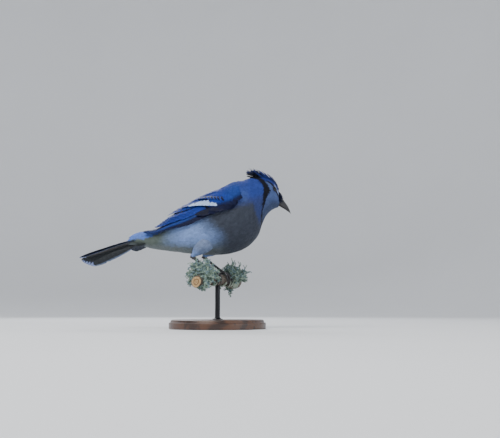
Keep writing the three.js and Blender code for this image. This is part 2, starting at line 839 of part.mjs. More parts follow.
function perch() {
  const { path, radii } = perchPath(0);
  const stub = tube(
    [
      perchAlong.clone().multiplyScalar(33).add(point(0, 0, -PERCH_RADIUS)),
      perchAlong.clone().multiplyScalar(38).add(point(0, 0, 4)),
      perchAlong.clone().multiplyScalar(41).add(point(0.6, 0, 11)),
    ],
    [3.6, 2.7, 2.1],
    9,
  );
  return fuse([tube(path, radii, 14), stub]);
}

function rod() {
  const height = PERCH_TOP - PERCH_RADIUS - BASE_THICKNESS - GAP;
  const shaft = solidOf(new THREE.CylinderGeometry(ROD_RADIUS, ROD_RADIUS, height, 20)).rotate([90, 0, 0]);
  const collar = solidOf(new THREE.CylinderGeometry(ROD_RADIUS + 2.4, ROD_RADIUS + 3.6, 4, 20)).rotate([90, 0, 0]);
  const bottom = BASE_THICKNESS + GAP;
  const whole = fuse([shaft.translate([0, 0, bottom + height / 2]), collar.translate([0, 0, bottom + 2])]);
  return largest(whole.subtract(perchGrown().translate([0, 0, PERCH_TOP])));
}

// Materials and the scene graph

function paint(color, roughness, metalness = 0) {
  return new THREE.MeshStandardMaterial({ color, roughness, metalness });
}

const finishes = {
  mantle: paint(0x4a68ab, 0.8),
  wing: paint(0x2c55ad, 0.6),
  tail: paint(0x39588f, 0.65),
  head: paint(0x7689b4, 0.8),
  collar: paint(0x14161f, 0.8),
  thigh: paint(0xaab2c4, 0.9),
  horn: paint(0x17171a, 0.35),
  leg: paint(0x232326, 0.5),
  eye: paint(0x0b0706, 0.08),
  bark: paint(0x6b6459, 0.9),
  wood: paint(0x3a2a20, 0.5),
  steel: paint(0x2a2a2c, 0.35, 0.9),
};

function node(name, solid, finish) {
  const mesh = new THREE.Mesh(geometryOf(solid), finishes[finish]);
  mesh.name = name;
  return mesh;
}

const bird = new THREE.Group();
bird.position.set(0, 0, PERCH_TOP);

const neckLap = 0.04; // of a station, left free at each end of the neck
const torso = fuse([torsoBare, ...tailCoverts()]);
const neck = bodyLength(NECK_FROM + neckLap, HEAD_FROM - neckLap, 3, BODY_SIDES);
const sockets = [-1, 1].map((side) => ball(EYE_RADIUS + GAP, eyeMiddle(side)));
const billUpper = largest([-1, 1].reduce((solid, side) => solid.subtract(nostril(side)), mandible(true)));
const tailSolid = tail();
const skull = fuse([
  bodyLength(HEAD_FROM + neckLap, HEAD_TO, 9, BODY_SIDES),
  lid(-1),
  lid(1),
  ...crest(),
  ...nasalTufts(),
]);
const head = largest(sockets.reduce((solid, socket) => solid.subtract(socket), skull));

bird.add(node("torso", torso, "mantle"));
bird.add(node("neck", neck, "collar"));
bird.add(node("head", head, "head"));
bird.add(node("bill_upper", billUpper, "horn"));
bird.add(node("bill_lower", mandible(false), "horn"));
bird.add(node("tail", tailSolid, "tail"));
for (const foot of FEET) {
  bird.add(node(`wing_${foot.name}`, wing(foot.side), "wing"));
  bird.add(node(`eye_${foot.name}`, ball(EYE_RADIUS, eyeMiddle(foot.side)), "eye"));
  bird.add(node(`thigh_${foot.name}`, thigh(foot), "thigh"));
  bird.add(node(`leg_${foot.name}`, tarsus(foot), "leg"));
  bird.add(node(`foot_${foot.name}`, footSolid(foot), "leg"));
  for (const t of TOES) {
    bird.add(node(`claw_${foot.name}_${t.name}`, claw(foot, t), "horn"));
  }
}
bird.add(node("perch_branch", perch(), "bark"));

const stand = new THREE.Group();
stand.add(node("stand_base", base(), "wood"));
stand.add(node("stand_rod", rod(), "steel"));

const model = new THREE.Group();
model.add(bird, stand);

export default model;
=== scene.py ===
"""Looks of a life-size museum model: a blue jay perched on a cut, lichened branch, held by a plain stand.

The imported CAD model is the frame. Each piece is worked out in millimetres from the same named sizes as the
solids, with the foothold on top of the branch as the bird's origin, and goes into Blender in metres.
"""

import logging
import math
from dataclasses import dataclass, field
from enum import Enum
from typing import Callable, Protocol

import bpy
import numpy as np
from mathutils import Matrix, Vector

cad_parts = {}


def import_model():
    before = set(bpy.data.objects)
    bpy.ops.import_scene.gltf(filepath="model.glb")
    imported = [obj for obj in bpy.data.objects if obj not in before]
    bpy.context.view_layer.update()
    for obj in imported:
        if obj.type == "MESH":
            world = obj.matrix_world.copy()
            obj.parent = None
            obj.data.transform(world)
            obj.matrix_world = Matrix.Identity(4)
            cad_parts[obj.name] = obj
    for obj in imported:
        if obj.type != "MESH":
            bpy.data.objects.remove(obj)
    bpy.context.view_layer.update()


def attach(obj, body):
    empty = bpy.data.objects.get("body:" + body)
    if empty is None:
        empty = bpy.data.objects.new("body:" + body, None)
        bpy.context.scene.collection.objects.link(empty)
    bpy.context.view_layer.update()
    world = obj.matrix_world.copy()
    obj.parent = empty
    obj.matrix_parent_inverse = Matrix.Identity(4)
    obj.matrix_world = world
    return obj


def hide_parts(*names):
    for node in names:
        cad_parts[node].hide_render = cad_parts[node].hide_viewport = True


Array = np.ndarray
Sheet = Callable[[Array, Array, Array], Array]

log = logging.getLogger("blue_jay")

MM = 0.001  # metres
PERCH_TOP = 70.0  # the foothold's height above the floor
BAKE_MAP = "OFBake"
VANE_MAP = "vane"  # centimetres from a feather's tip, and across from its shaft
UP = np.array([0.0, 0.0, 1.0])
QUARTER = math.pi / 2
FEATHER_PATCH = 0.0015  # half a small feather's size in the bake map
EVEN_STEPS = (0.7548776662466927, 0.5698402909980532)  # of a sequence that fills a square evenly


# Numbers, directions and colours


def smooth(low: float, high: float, x: Array) -> Array:
    """Eases from 0 at low to 1 at high, as 3t² - 2t³ of the clamped share t.

    Args:
        low: where the result is 0.
        high: where the result is 1.
        x: the values to ease.

    Returns:
        The eased share, shaped as x.
    """
    t = np.clip((np.asarray(x, float) - low) / (high - low), 0.0, 1.0)
    return t * t * (3.0 - 2.0 * t)


def lerp(first: Array, second: Array, share: Array) -> Array:
    """The value that lies share of the way from first to second."""
    return first + (second - first) * share


def blend(first: Array, second: Array, share: Array) -> Array:
    """Colours or points mixed by a share that has no last axis of its own."""
    return first + (second - first) * np.asarray(share)[..., None]


def unit(vectors: Array) -> Array:
    """The vectors at length one."""
    return vectors / np.maximum(np.linalg.norm(vectors, axis=-1, keepdims=True), 1e-9)


def through(values: tuple[float, ...], at: Array) -> Array:
    """A smooth curve through equally spaced values.

    Between b and c, with neighbours a and d, at share f, it is
    b + f/2 (c - a + f (2a - 5b + 4c - d + f (3b - a - 3c + d))).

    Args:
        values: what the curve passes through at 0, 1, 2 and so on.
        at: where to read it.

    Returns:
        The curve's values, shaped as at.
    """
    ends = np.array([2 * values[0] - values[1], *values, 2 * values[-1] - values[-2]])
    i = np.clip(np.floor(at).astype(int), 0, len(values) - 2)
    f = at - i
    a, b, c, d = ends[i], ends[i + 1], ends[i + 2], ends[i + 3]
    return b + 0.5 * f * (c - a + f * (2 * a - 5 * b + 4 * c - d + (3 * b - a - 3 * c + d) * f))


def steps(way: Array, far: Array) -> Array:
    """Directions times distances, which have no last axis of their own."""
    return way * np.asarray(far)[..., None]


def circle(sides: int) -> Array:
    """Angles evenly round a circle, in radians."""
    return np.linspace(0, 2 * math.pi, sides, endpoint=False)


def run(count: int, low: float, high: float) -> Array:
    """Evenly spaced numbers from low to high."""
    return np.linspace(low, high, count)


def pairs(first: Array | float, second: Array | float) -> Array:
    """Two rows of numbers side by side."""
    return np.stack(np.broadcast_arrays(np.asarray(first, float), np.asarray(second, float)), -1)


def paint(red: int, green: int, blue: int) -> Array:
    """A colour given in screen values of 0 to 255, as linear light by the screens' standard curve."""
    share = np.array([red, green, blue]) / 255.0
    return np.where(share <= 0.04045, share / 12.92, ((share + 0.055) / 1.055) ** 2.4)


def opaque(red: int, green: int, blue: int) -> tuple[float, ...]:
    """A colour given in screen values, as a node's input takes it."""
    return (*paint(red, green, blue), 1.0)


def in_map(share: Array) -> Array:
    """A share from 0 to 1 laid inside the bake map's margin."""
    return 0.02 + 0.96 * share


@dataclass(frozen=True)
class Ripples:
    """A smooth random field: the sum of sine waves that run in random directions."""

    seed: int
    size: float  # of one wave
    waves: int = 16

    def __call__(self, points: Array) -> Array:
        """The field at points, spread about 0 with a spread of about 1.

        Args:
            points: where to read the field, with a last axis of three.

        Returns:
            One value for each point.
        """
        draw = np.random.default_rng(self.seed)
        ways = unit(draw.normal(size=(self.waves, 3)))
        ways *= draw.uniform(0.6, 1.6, (self.waves, 1)) * 2 * math.pi / self.size
        starts = draw.uniform(0, 2 * math.pi, self.waves)
        return np.sin(points @ ways.T + starts).sum(-1) * math.sqrt(2 / self.waves)


# Meshes


@dataclass
class Form:
    """A mesh under way, in millimetres, with what its finish reads."""

    vertices: Array
    quads: Array
    triangles: Array = field(default_factory=lambda: np.zeros((0, 3), int))
    rim: Array = field(default_factory=lambda: np.zeros((0, 2), int))  # edges that stay sharp
    under: Array | None = None  # whether each face is on the under side, the quads first
    colours: dict[str, Array] = field(default_factory=dict)
    maps: dict[str, Array] = field(default_factory=dict)  # two each, of the upper and of the under side

    def __post_init__(self) -> None:
        """Fills in that no face is on the under side."""
        if self.under is None:
            self.under = np.zeros(len(self.quads) + len(self.triangles), bool)

    def volume(self) -> float:
        """Six times the volume that the faces close, positive where they point outwards.

        Returns:
            The number in cubic millimetres.
        """
        centred = self.vertices - self.vertices.mean(0)
        corners = np.concatenate([self.triangles, self.quads[:, [0, 1, 2]], self.quads[:, [0, 2, 3]]])
        a, b, c = (centred[corners[:, k]] for k in range(3))
        return float((a * np.cross(b, c)).sum())

    def turned_out(self) -> "Form":
        """The same form, with its faces turned round if they point inwards.

        Returns:
            This form.
        """
        if self.volume() < 0:
            self.quads = self.quads[:, ::-1]
            self.triangles = self.triangles[:, ::-1]
        return self

    def piece(
        self, name: str, finishes: list[bpy.types.Material], slot: str, height: float = PERCH_TOP
    ) -> bpy.types.Object:
        """Puts the form into Blender as a piece that rides on the model.

        Args:
            name: the piece's name.
            finishes: the upper side's material, and the under side's if it has its own.
            slot: not used.
            height: how far above the floor the form's origin lies.

        Returns:
            The new object, at the origin, with its place in its mesh.
        """
        mesh = bpy.data.meshes.new(name)
        places = (self.vertices + [0.0, 0.0, height]) * MM
        loops = np.concatenate([self.quads.ravel(), self.triangles.ravel()]).astype(np.int32)
        sizes = np.concatenate([np.full(len(self.quads), 4), np.full(len(self.triangles), 3)])
        starts = np.concatenate([[0], np.cumsum(sizes)[:-1]]).astype(np.int32)
        mesh.vertices.add(len(places))
        mesh.vertices.foreach_set("co", places.astype(np.float32).ravel())
        mesh.loops.add(len(loops))
        mesh.loops.foreach_set("vertex_index", loops)
        mesh.polygons.add(len(sizes))
        mesh.polygons.foreach_set("loop_start", starts)
        mesh.polygons.foreach_set("use_smooth", np.ones(len(sizes), bool))
        if len(finishes) > 1:
            mesh.polygons.foreach_set("material_index", self.under.astype(np.int32))
        mesh.update(calc_edges=True)
        self._mark_rim(mesh)
        below = np.repeat(self.under, sizes).astype(int)
        for key, pair in self.maps.items():
            layer = mesh.uv_layers.new(name=key)
            layer.data.foreach_set("uv", pair[below, loops].astype(np.float32).ravel())
        for key, colour in self.colours.items():
            layer = mesh.color_attributes.new(name=key, type="FLOAT_COLOR", domain="POINT")
            rgba = np.concatenate([colour, np.ones((len(colour), 1))], axis=1)
            layer.data.foreach_set("color", rgba.astype(np.float32).ravel())
        for finish in finishes:
            mesh.materials.append(finish)
        made = bpy.data.objects.new(name, mesh)
        bpy.context.scene.collection.objects.link(made)
        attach(made, "root")
        log.info("%s: %d triangles", name, 2 * len(self.quads) + len(self.triangles))
        return made

    def _mark_rim(self, mesh: bpy.types.Mesh) -> None:
        """Marks the rim's edges sharp, found by the two vertices that each one joins.

        Args:
            mesh: the mesh made from this form.
        """
        if not len(self.rim):
            return
        many = len(self.vertices)
        ends = np.empty(len(mesh.edges) * 2, np.int32)
        mesh.edges.foreach_get("vertices", ends)
        ends = np.sort(ends.reshape(-1, 2).astype(np.int64), axis=1)
        rim = np.sort(self.rim.astype(np.int64), axis=1)
        sharp = np.isin(ends[:, 0] * many + ends[:, 1], rim[:, 0] * many + rim[:, 1])
        layer = mesh.attributes.new("sharp_edge", "BOOLEAN", "EDGE")
        layer.data.foreach_set("value", sharp)


def joined(forms: list[Form]) -> Form:
    """Several forms as one. They carry the same colours and maps.

    Args:
        forms: the forms.

    Returns:
        One form that holds them all in order.
    """
    starts = np.cumsum([0] + [len(f.vertices) for f in forms])
    quads = [f.quads + start for f, start in zip(forms, starts)]
    triangles = [f.triangles + start for f, start in zip(forms, starts)]
    rims = [f.rim + start for f, start in zip(forms, starts)]
    under = [f.under[: len(f.quads)] for f in forms] + [f.under[len(f.quads) :] for f in forms]
    return Form(
        np.concatenate([f.vertices for f in forms]),
        np.concatenate(quads),
        np.concatenate(triangles),
        np.concatenate(rims),
        np.concatenate(under),
        {key: np.concatenate([f.colours[key] for f in forms]) for key in forms[0].colours},
        {key: np.concatenate([f.maps[key] for f in forms], axis=1) for key in forms[0].maps},
    )


def grid_quads(rows: int, columns: int, closed: bool = False) -> Array:
    """The quads of a grid of vertices numbered row by row.

    Args:
        rows: rows of vertices.
        columns: vertices in a row.
        closed: whether each row joins up with its own start.

    Returns:
        Four vertex numbers for each quad.
    """
    i, j = np.meshgrid(np.arange(rows - 1), np.arange(columns if closed else columns - 1), indexing="ij")
    right = (j + 1) % columns
    corners = [i * columns + j, (i + 1) * columns + j, (i + 1) * columns + right, i * columns + right]
    return np.stack(corners, -1).reshape(-1, 4)


def pole_fans(rows: int, columns: int) -> Array:
    """The triangles that close a grid's first and last rows with two poles.

    Args:
        rows: rows of vertices.
        columns: vertices in a row, which joins up with its own start.

    Returns:
        Three vertex numbers for each triangle. The poles' numbers follow the grid's.
    """
    j = np.arange(columns)
    after = (j + 1) % columns
    last, low = (rows - 1) * columns, rows * columns
    start = np.stack([np.full(columns, low), j, after], -1)
    end = np.stack([np.full(columns, low + 1), last + after, last + j], -1)
    return np.concatenate([start, end])


def tube_of_rings(rings: Array, poles: Array | None = None) -> Form:
    """Rings of points joined in order, with a pole at each end.

    Args:
        rings: as rows by columns by three.
        poles: the two end points, or nothing for the middles of the end rings.

    Returns:
        The closed surface.
    """
    rows, columns, _ = rings.shape
    poles = rings[[0, -1]].mean(1) if poles is None else poles
    vertices = np.concatenate([rings.reshape(-1, 3), poles])
    return Form(vertices, grid_quads(rows, columns, closed=True), pole_fans(rows, columns)).turned_out()


def swept(paths: Array, across: Array, above: Array) -> Form:
    """Closed tubes: a ring of points is carried along each path, and a pole closes each end.

    A ring's point is the path's, plus its right direction times across, plus its up direction times above.

    Args:
        paths: the middles, as tubes by rows by three.
        across: sideways offsets, as tubes or one, by rows, by sides.
        above: upward offsets, shaped as across.

    Returns:
        The tubes as one form.
    """
    count, rows, _ = paths.shape
    sides = across.shape[-1]
    along = unit(np.gradient(paths, axis=1))
    steep = np.abs(along.mean(1, keepdims=True)[..., 1:2]) > 0.8
    guide = np.where(steep, [1.0, 0.0, 0.0], [0.0, 1.0, 0.0])
    right = unit(np.cross(np.broadcast_to(guide, along.shape), along))
    up = np.cross(along, right)
    rings = paths[:, :, None] + right[:, :, None] * across[..., None] + up[:, :, None] * above[..., None]
    vertices = np.concatenate([rings.reshape(count, -1, 3), paths[:, :1], paths[:, -1:]], axis=1)
    shift = (np.arange(count) * vertices.shape[1])[:, None, None]
    return Form(
        vertices.reshape(-1, 3),
        (grid_quads(rows, sides, closed=True) + shift).reshape(-1, 4),
        (pole_fans(rows, sides) + shift).reshape(-1, 3),
    ).turned_out()


def round_tube(path: Array, radii: Array, sides: int) -> Form:
    """One tube of round rings along a path.

    Args:
        path: the rings' middles.
        radii: one for each ring.
        sides: points in a ring.

    Returns:
        The tube.
    """
    turn = circle(sides)
    radii = np.asarray(radii)[None, :, None]
    return swept(path[None], radii * np.cos(turn), radii * np.sin(turn))


def arc(
    middle: tuple[float, float], radii: tuple[float, float], turn: tuple[float, float], count: int
) -> list[tuple[float, float]]:
    """Part of an oval, for a profile: the middle, plus the radii times the turn's cosine and sine.

    Args:
        middle: the oval's middle.
        radii: its half width and half height.
        turn: the first and last angle in radians.
        count: how many points.

    Returns:
        The arc's points.
    """
    (x, z), (wide, tall) = middle, radii
    return [(x + wide * math.cos(t), z + tall * math.sin(t)) for t in run(count, *turn)]


def spun(profile: list[tuple[float, float]], sides: int) -> Array:
    """A profile of radius and height pairs spun round the upright axis.

    Args:
        profile: the pairs, from one end to the other.
        sides: points in each ring.

    Returns:
        Rings, as rows by sides by three.
    """
    radius, height = np.array(profile).T[..., None]
    turn = circle(sides)
    return np.stack(np.broadcast_arrays(radius * np.cos(turn), radius * np.sin(turn), height), -1)


@dataclass(frozen=True)
class VanePlan:
    """How one vane's vertices are joined: a crowned grid on top, closed below by a like grid or by a keel."""

    rows: int
    columns: int
    lined: bool  # whether the under side is a grid of its own, and not one line of vertices along the middle

    @property
    def inner(self) -> tuple[int, int]:
        """Rows and columns of the under side's own vertices."""
        return (self.rows - 1, self.columns - 1 if self.lined else 1)

    @property
    def size(self) -> int:
        """Vertices of one vane."""
        return (self.rows + 1) * (self.columns + 1) + self.inner[0] * self.inner[1]

    def faces(self) -> tuple[Array, Array, Array, Array]:
        """The vane's quads, triangles, rim edges, and which faces lie under, the quads first.

        Returns:
            Four arrays in that order.
        """
        r, c = self.rows, self.columns
        top = np.arange((r + 1) * (c + 1)).reshape(r + 1, c + 1)
        quads = [grid_quads(r + 1, c + 1)]
        triangles = np.zeros((0, 3), int)
        if self.lined:
            below = top.copy()
            below[1:-1, 1:-1] = top.size + np.arange((r - 1) * (c - 1)).reshape(r - 1, c - 1)
            corners = [below[:-1, :-1], below[:-1, 1:], below[1:, 1:], below[1:, :-1]]
            quads.append(np.stack(corners, -1).reshape(-1, 4))
        else:
            left, right = top[1:-1, 0], top[1:-1, -1]
            keel = top.size + np.arange(r - 1)
            quads.append(np.stack([left[:-1], keel[:-1], keel[1:], left[1:]], -1))
            quads.append(np.stack([keel[:-1], right[:-1], right[1:], keel[1:]], -1))
            ends = [
                (keel[0], [left[0], *top[0], right[0]]),
                (keel[-1], [right[-1], *top[-1, ::-1], left[-1]]),
            ]
            fans = [(middle, *pair) for middle, line in ends for pair in zip(line[:-1], line[1:])]
            triangles = np.array(fans)
        sides = [top[:, 0], top[:, -1], top[0], top[-1]]
        rim = np.concatenate([np.stack([line[:-1], line[1:]], -1) for line in sides])
        below = sum(len(part) for part in quads[1:]) + len(triangles)
        under = np.concatenate([np.zeros(len(quads[0]), bool), np.ones(below, bool)])
        return np.concatenate(quads), triangles, rim, under

    def form(self, top: Array, below: Array, colours: dict[str, Array], maps: dict[str, Array]) -> Form:
        """Many vanes as one form.

        Args:
            top: the upper grids, as vanes by rows by columns by three.
            below: the under grids, shaped as top, or with the middle column alone where the plan has a keel.
            colours: for each name, colours shaped as top.
            maps: for each name, two maps, each as vanes by rows by columns by two.

        Returns:
            The vanes, with their faces outwards.
        """
        count = len(top)

        def packed(grid: Array, lower: Array) -> Array:
            """One row of numbers for each vertex, the upper grid's first and then the under side's own.

            Args:
                grid: numbers for the upper grid.
                lower: numbers for the under side, on its own grid.

            Returns:
                Vertices by numbers.
            """
            middle = lower.shape[2] // 2
            inner = lower[:, 1:-1, 1:-1] if self.lined else lower[:, 1:-1, middle]
            parts = [part.reshape(count, -1, grid.shape[-1]) for part in (grid, inner)]
            return np.concatenate(parts, axis=1).reshape(-1, grid.shape[-1])

        quads, triangles, rim, under = self.faces()
        shift = (np.arange(count) * self.size)[:, None, None]
        return Form(
            packed(top, below),
            (quads + shift).reshape(-1, 4),
            (triangles + shift).reshape(-1, 3),
            (rim + shift).reshape(-1, 2),
            np.concatenate([np.tile(under[: len(quads)], count), np.tile(under[len(quads) :], count)]),
            {key: packed(value, value) for key, value in colours.items()},
            {key: np.stack([packed(side, side) for side in pair]) for key, pair in maps.items()},
        ).turned_out()


# The body's surface, as in the solids


class Surface(Protocol):
    """A surface that feathers can grow on. Its first parameter runs against their lie."""

    def point(self, u: Array, v: Array, grown: Array) -> Array:
        """The surface's points, moved outwards by grown."""


@dataclass(frozen=True)
class Station:
    """A section of the body, between a point of the back line and one of the belly line, both as x and z."""

    at: str
    back: tuple[float, float]
    belly: tuple[float, float]
    half: float


STATIONS = (
    Station("tail root", (-98.6, 55), (-96.2, 35.4), 12),
    Station("rump", (-74, 58.5), (-79.5, 31.8), 19),
    Station("loin", (-50, 75), (-53, 28.5), 26.5),
    Station("thigh", (-25, 91.5), (-23, 25), 31.5),
    Station("ribs", (-1, 105), (10, 25.5), 34),
    Station("breast", (18, 115), (35, 33), 32.5),
    Station("shoulder", (29, 120.5), (51, 48), 28.5),
    Station("collar", (36, 123.5), (57.5, 64.5), 24.5),
    Station("nape", (43.5, 126), (62, 74.5), 21),
    Station("hind crown", (53.5, 128.5), (67, 80.5), 18.8),
    Station("crown", (63.5, 127), (71.5, 84), 17.2),
    Station("brow", (72.5, 121.5), (75, 86), 14.6),
    Station("forehead", (78, 112.5), (77.6, 87), 10.8),
    Station("bill root", (81, 101), (79.2, 88.2), 5.6),
)


@dataclass(frozen=True)
class BodyForm:
    """The body from the tail's root, at station 0, to the bill's root, at station 13."""

    stations: tuple[Station, ...] = STATIONS
    head_roll: float = math.radians(9)
    head_turn: float = 5.0
    neck_from: float = 7.0
    head_to: float = 13.0

    def section(self, u: Array) -> tuple[Array, Array, Array, Array, Array]:
        """The sections at stations u: middle, half height, half width, up and left.

        Args:
            u: stations.

        Returns:
            Five arrays in that order, the last three with a last axis of three.
        """
        back_x, back_z = (through(tuple(s.back[k] for s in self.stations), u) for k in range(2))
        belly_x, belly_z = (through(tuple(s.belly[k] for s in self.stations), u) for k in range(2))
        half = through(tuple(s.half for s in self.stations), u)
        roll = self.head_roll * smooth(self.neck_from, self.head_to - 3, u)
        tall = np.hypot(back_x - belly_x, back_z - belly_z)
        x, z = (back_x - belly_x) / tall, (back_z - belly_z) / tall
        up = np.stack([x * np.cos(roll), np.sin(roll), z * np.cos(roll)], -1)
        left = np.stack([-x * np.sin(roll), np.cos(roll), -z * np.sin(roll)], -1)
        turn = self.head_turn * smooth(self.neck_from, self.head_to, u)
        middle = np.stack([(back_x + belly_x) / 2, turn, (back_z + belly_z) / 2], -1)
        return middle, tall / 2, half, up, left

    def point(self, u: Array, v: Array, grown: Array = 0.0) -> Array:
        """Points of the body.

        Each is the section's middle, plus its up direction times the grown half height and the cosine of v,
        plus its left direction times the grown half width and the sine of v.

        Args:
            u: stations.
            v: angles from the back line in radians, positive towards the bird's left.
            grown: added to the section's size.

        Returns:
            Points, with u's and v's common shape by three.
        """
        u, v, grown = np.broadcast_arrays(np.asarray(u, float), v, grown)
        middle, tall, half, up, left = self.section(u)
        return middle + steps(up, (tall + grown) * np.cos(v)) + steps(left, (half + grown) * np.sin(v))

    def outward(self, u: Array, v: Array) -> Array:
        """The direction out of the body: that along the stations crossed with that round them.

        Args:
            u: stations.
            v: angles from the back line in radians.

        Returns:
            Directions of length one.
        """
        step = 0.01
        u, v = np.broadcast_arrays(np.asarray(u, float), v)
        along = self.point(u + step, v) - self.point(u - step, v)
        around = self.point(u, v + step) - self.point(u, v - step)
        return unit(np.cross(along, around))


BODY = BodyForm()


@dataclass(frozen=True)
class WingForm:
    """The wing's sheet on the body's side.

    Its a runs from the wrist to the tip, b up from the lower edge, and t outwards.
    """

    side: int  # -1 for the right wing and 1 for the left
    length: float = 138.0
    wrist: float = 5.55  # the body's station
    last: float = -0.65  # the station where measuring stops
    line: float = math.radians(40)  # from the back line, where distances are measured
    low: float = 76.0  # the lower edge at the wrist, in degrees from the back line
    low_tip: float = 70.0
    back_gap: float = 7.0  # between the sheet's upper edge and the back line, in degrees
    arm: float = 66.0

    def station(self, a: Array) -> Array:
        """The body's station at a distance from the wrist, measured along the body's side.

        Args:
            a: distances from the wrist in millimetres.

        Returns:
            Stations, shaped as a.
        """
        step = 0.05
        u = np.arange(self.wrist, self.last, -step)
        line = BODY.point(u, self.line)
        far = np.concatenate([[0], np.cumsum(np.linalg.norm(np.diff(line, axis=0), axis=1))])
        before = -(u[1] - u[0]) / (far[1] - far[0])
        return np.where(a < 0, self.wrist - a * before, np.interp(a, far, u))

    def stand_off(self, a: Array) -> Array:
        """How far the upper face stands off the body's side."""
        return 3.4 + 1.8 * smooth(20, 60, a) + 3.2 * smooth(60, 100, a) - 1.0 * smooth(104, 128, a)

    def low_edge(self, a: Array) -> Array:
        """The lower edge's angle from the back line, in degrees."""
        return lerp(self.low, self.low_tip, smooth(60, self.length, a)) - 5 * smooth(18, 0, a)

    def girth(self, a: Array) -> Array:
        """The radius that turns a distance across the wing into an angle round the body."""
        _, tall, half, _, _ = BODY.section(self.station(a))
        return (tall + half) / 2 + self.stand_off(a)

    def width(self, a: Array) -> Array:
        """From the lower edge to the middle of the back."""
        return self.girth(a) * np.radians(self.low_edge(a) - self.back_gap)

    def place(self, a: Array, b: Array, t: Array) -> Array:
        """Points of the sheet: the body's at a's station and b's angle, moved out by the stand-off and t.

        Args:
            a: distances from the wrist.
            b: distances up from the lower edge.
            t: heights above the sheet.

        Returns:
            Points, with the common shape by three.
        """
        u = self.station(a)
        v = self.side * (np.radians(self.low_edge(a)) - b / self.girth(a))
        return BODY.point(u, v) + steps(BODY.outward(u, v), self.stand_off(a) + t)

    def point(self, u: Array, v: Array, grown: Array) -> Array:
        """The sheet as a surface for small feathers: u runs forwards, v up from the lower edge."""
        return self.place(-np.asarray(u, float), v, grown)


@dataclass(frozen=True)
class TailForm:
    """The tail's sheet: a runs back from the root, b to the left, t above. It arches and rolls right."""

    length: float = 84.0
    slope: float = math.radians(19)
    roll: float = math.radians(17)
    arch: float = 0.012
    root: tuple[float, float, float] = (-97.4, 0.0, 45.2)

    def place(self, a: Array, b: Array, t: Array) -> Array:
        """Points of the sheet, sloped down behind the root, with the roll growing over the root.

        Args:
            a: distances back from the root.
            b: distances to the left of the middle.
            t: heights above the sheet.

        Returns:
            Points, with the common shape by three.
        """
        a, b, t = np.broadcast_arrays(np.asarray(a, float), b, t)
        roll = self.roll * smooth(-14, 16, a)
        above = t - self.arch * b * b * smooth(-6, 12, a)
        across = b * np.cos(roll) + above * np.sin(roll)
        up = above * np.cos(roll) - b * np.sin(roll)
        x = self.root[0] - a * math.cos(self.slope) - up * math.sin(self.slope)
        z = self.root[2] - a * math.sin(self.slope) + up * math.cos(self.slope)
        return np.stack([x, across, z], -1)


# Plumage


class Hue(Enum):
    """The plumage's colours."""

    MANTLE = (42, 62, 134)
    # The next colour is a painted highlight on the shoulder; lightened further, it is also the rump's pale
    # coverts.
    SHOULDER = (66, 90, 148)
    RUMP = (44, 70, 144)
    CROWN = (28, 46, 120)
    COLLAR = (7, 9, 22)
    CHEEK = (74, 92, 140)
    # The next colour is the throat's, darkened to a painted shadow.
    SHADOWED_THROAT = (58, 70, 100)
    BROW = (140, 156, 204)
    LORE = (9, 11, 26)
    # The next colour is the breast's grey wash, darkened with painted shade.
    SHADED_BREAST = (56, 61, 72)
    FLANK = (122, 148, 200)
    BELLY = (106, 115, 116)
    # The next colour is the vent's grey, darkened with painted shade under the tail.
    VENT = (90, 100, 94)
    THIGH = (118, 134, 166)
    WING = (22, 52, 138)
    WING_DULL = (28, 56, 126)
    NAVY = (12, 18, 50)
    DUSK = (20, 27, 50)
    SLATE = (52, 58, 70)
    PALE = (178, 202, 242)

    @property
    def light(self) -> Array:
        """The colour as linear light."""
        return paint(*self.value)


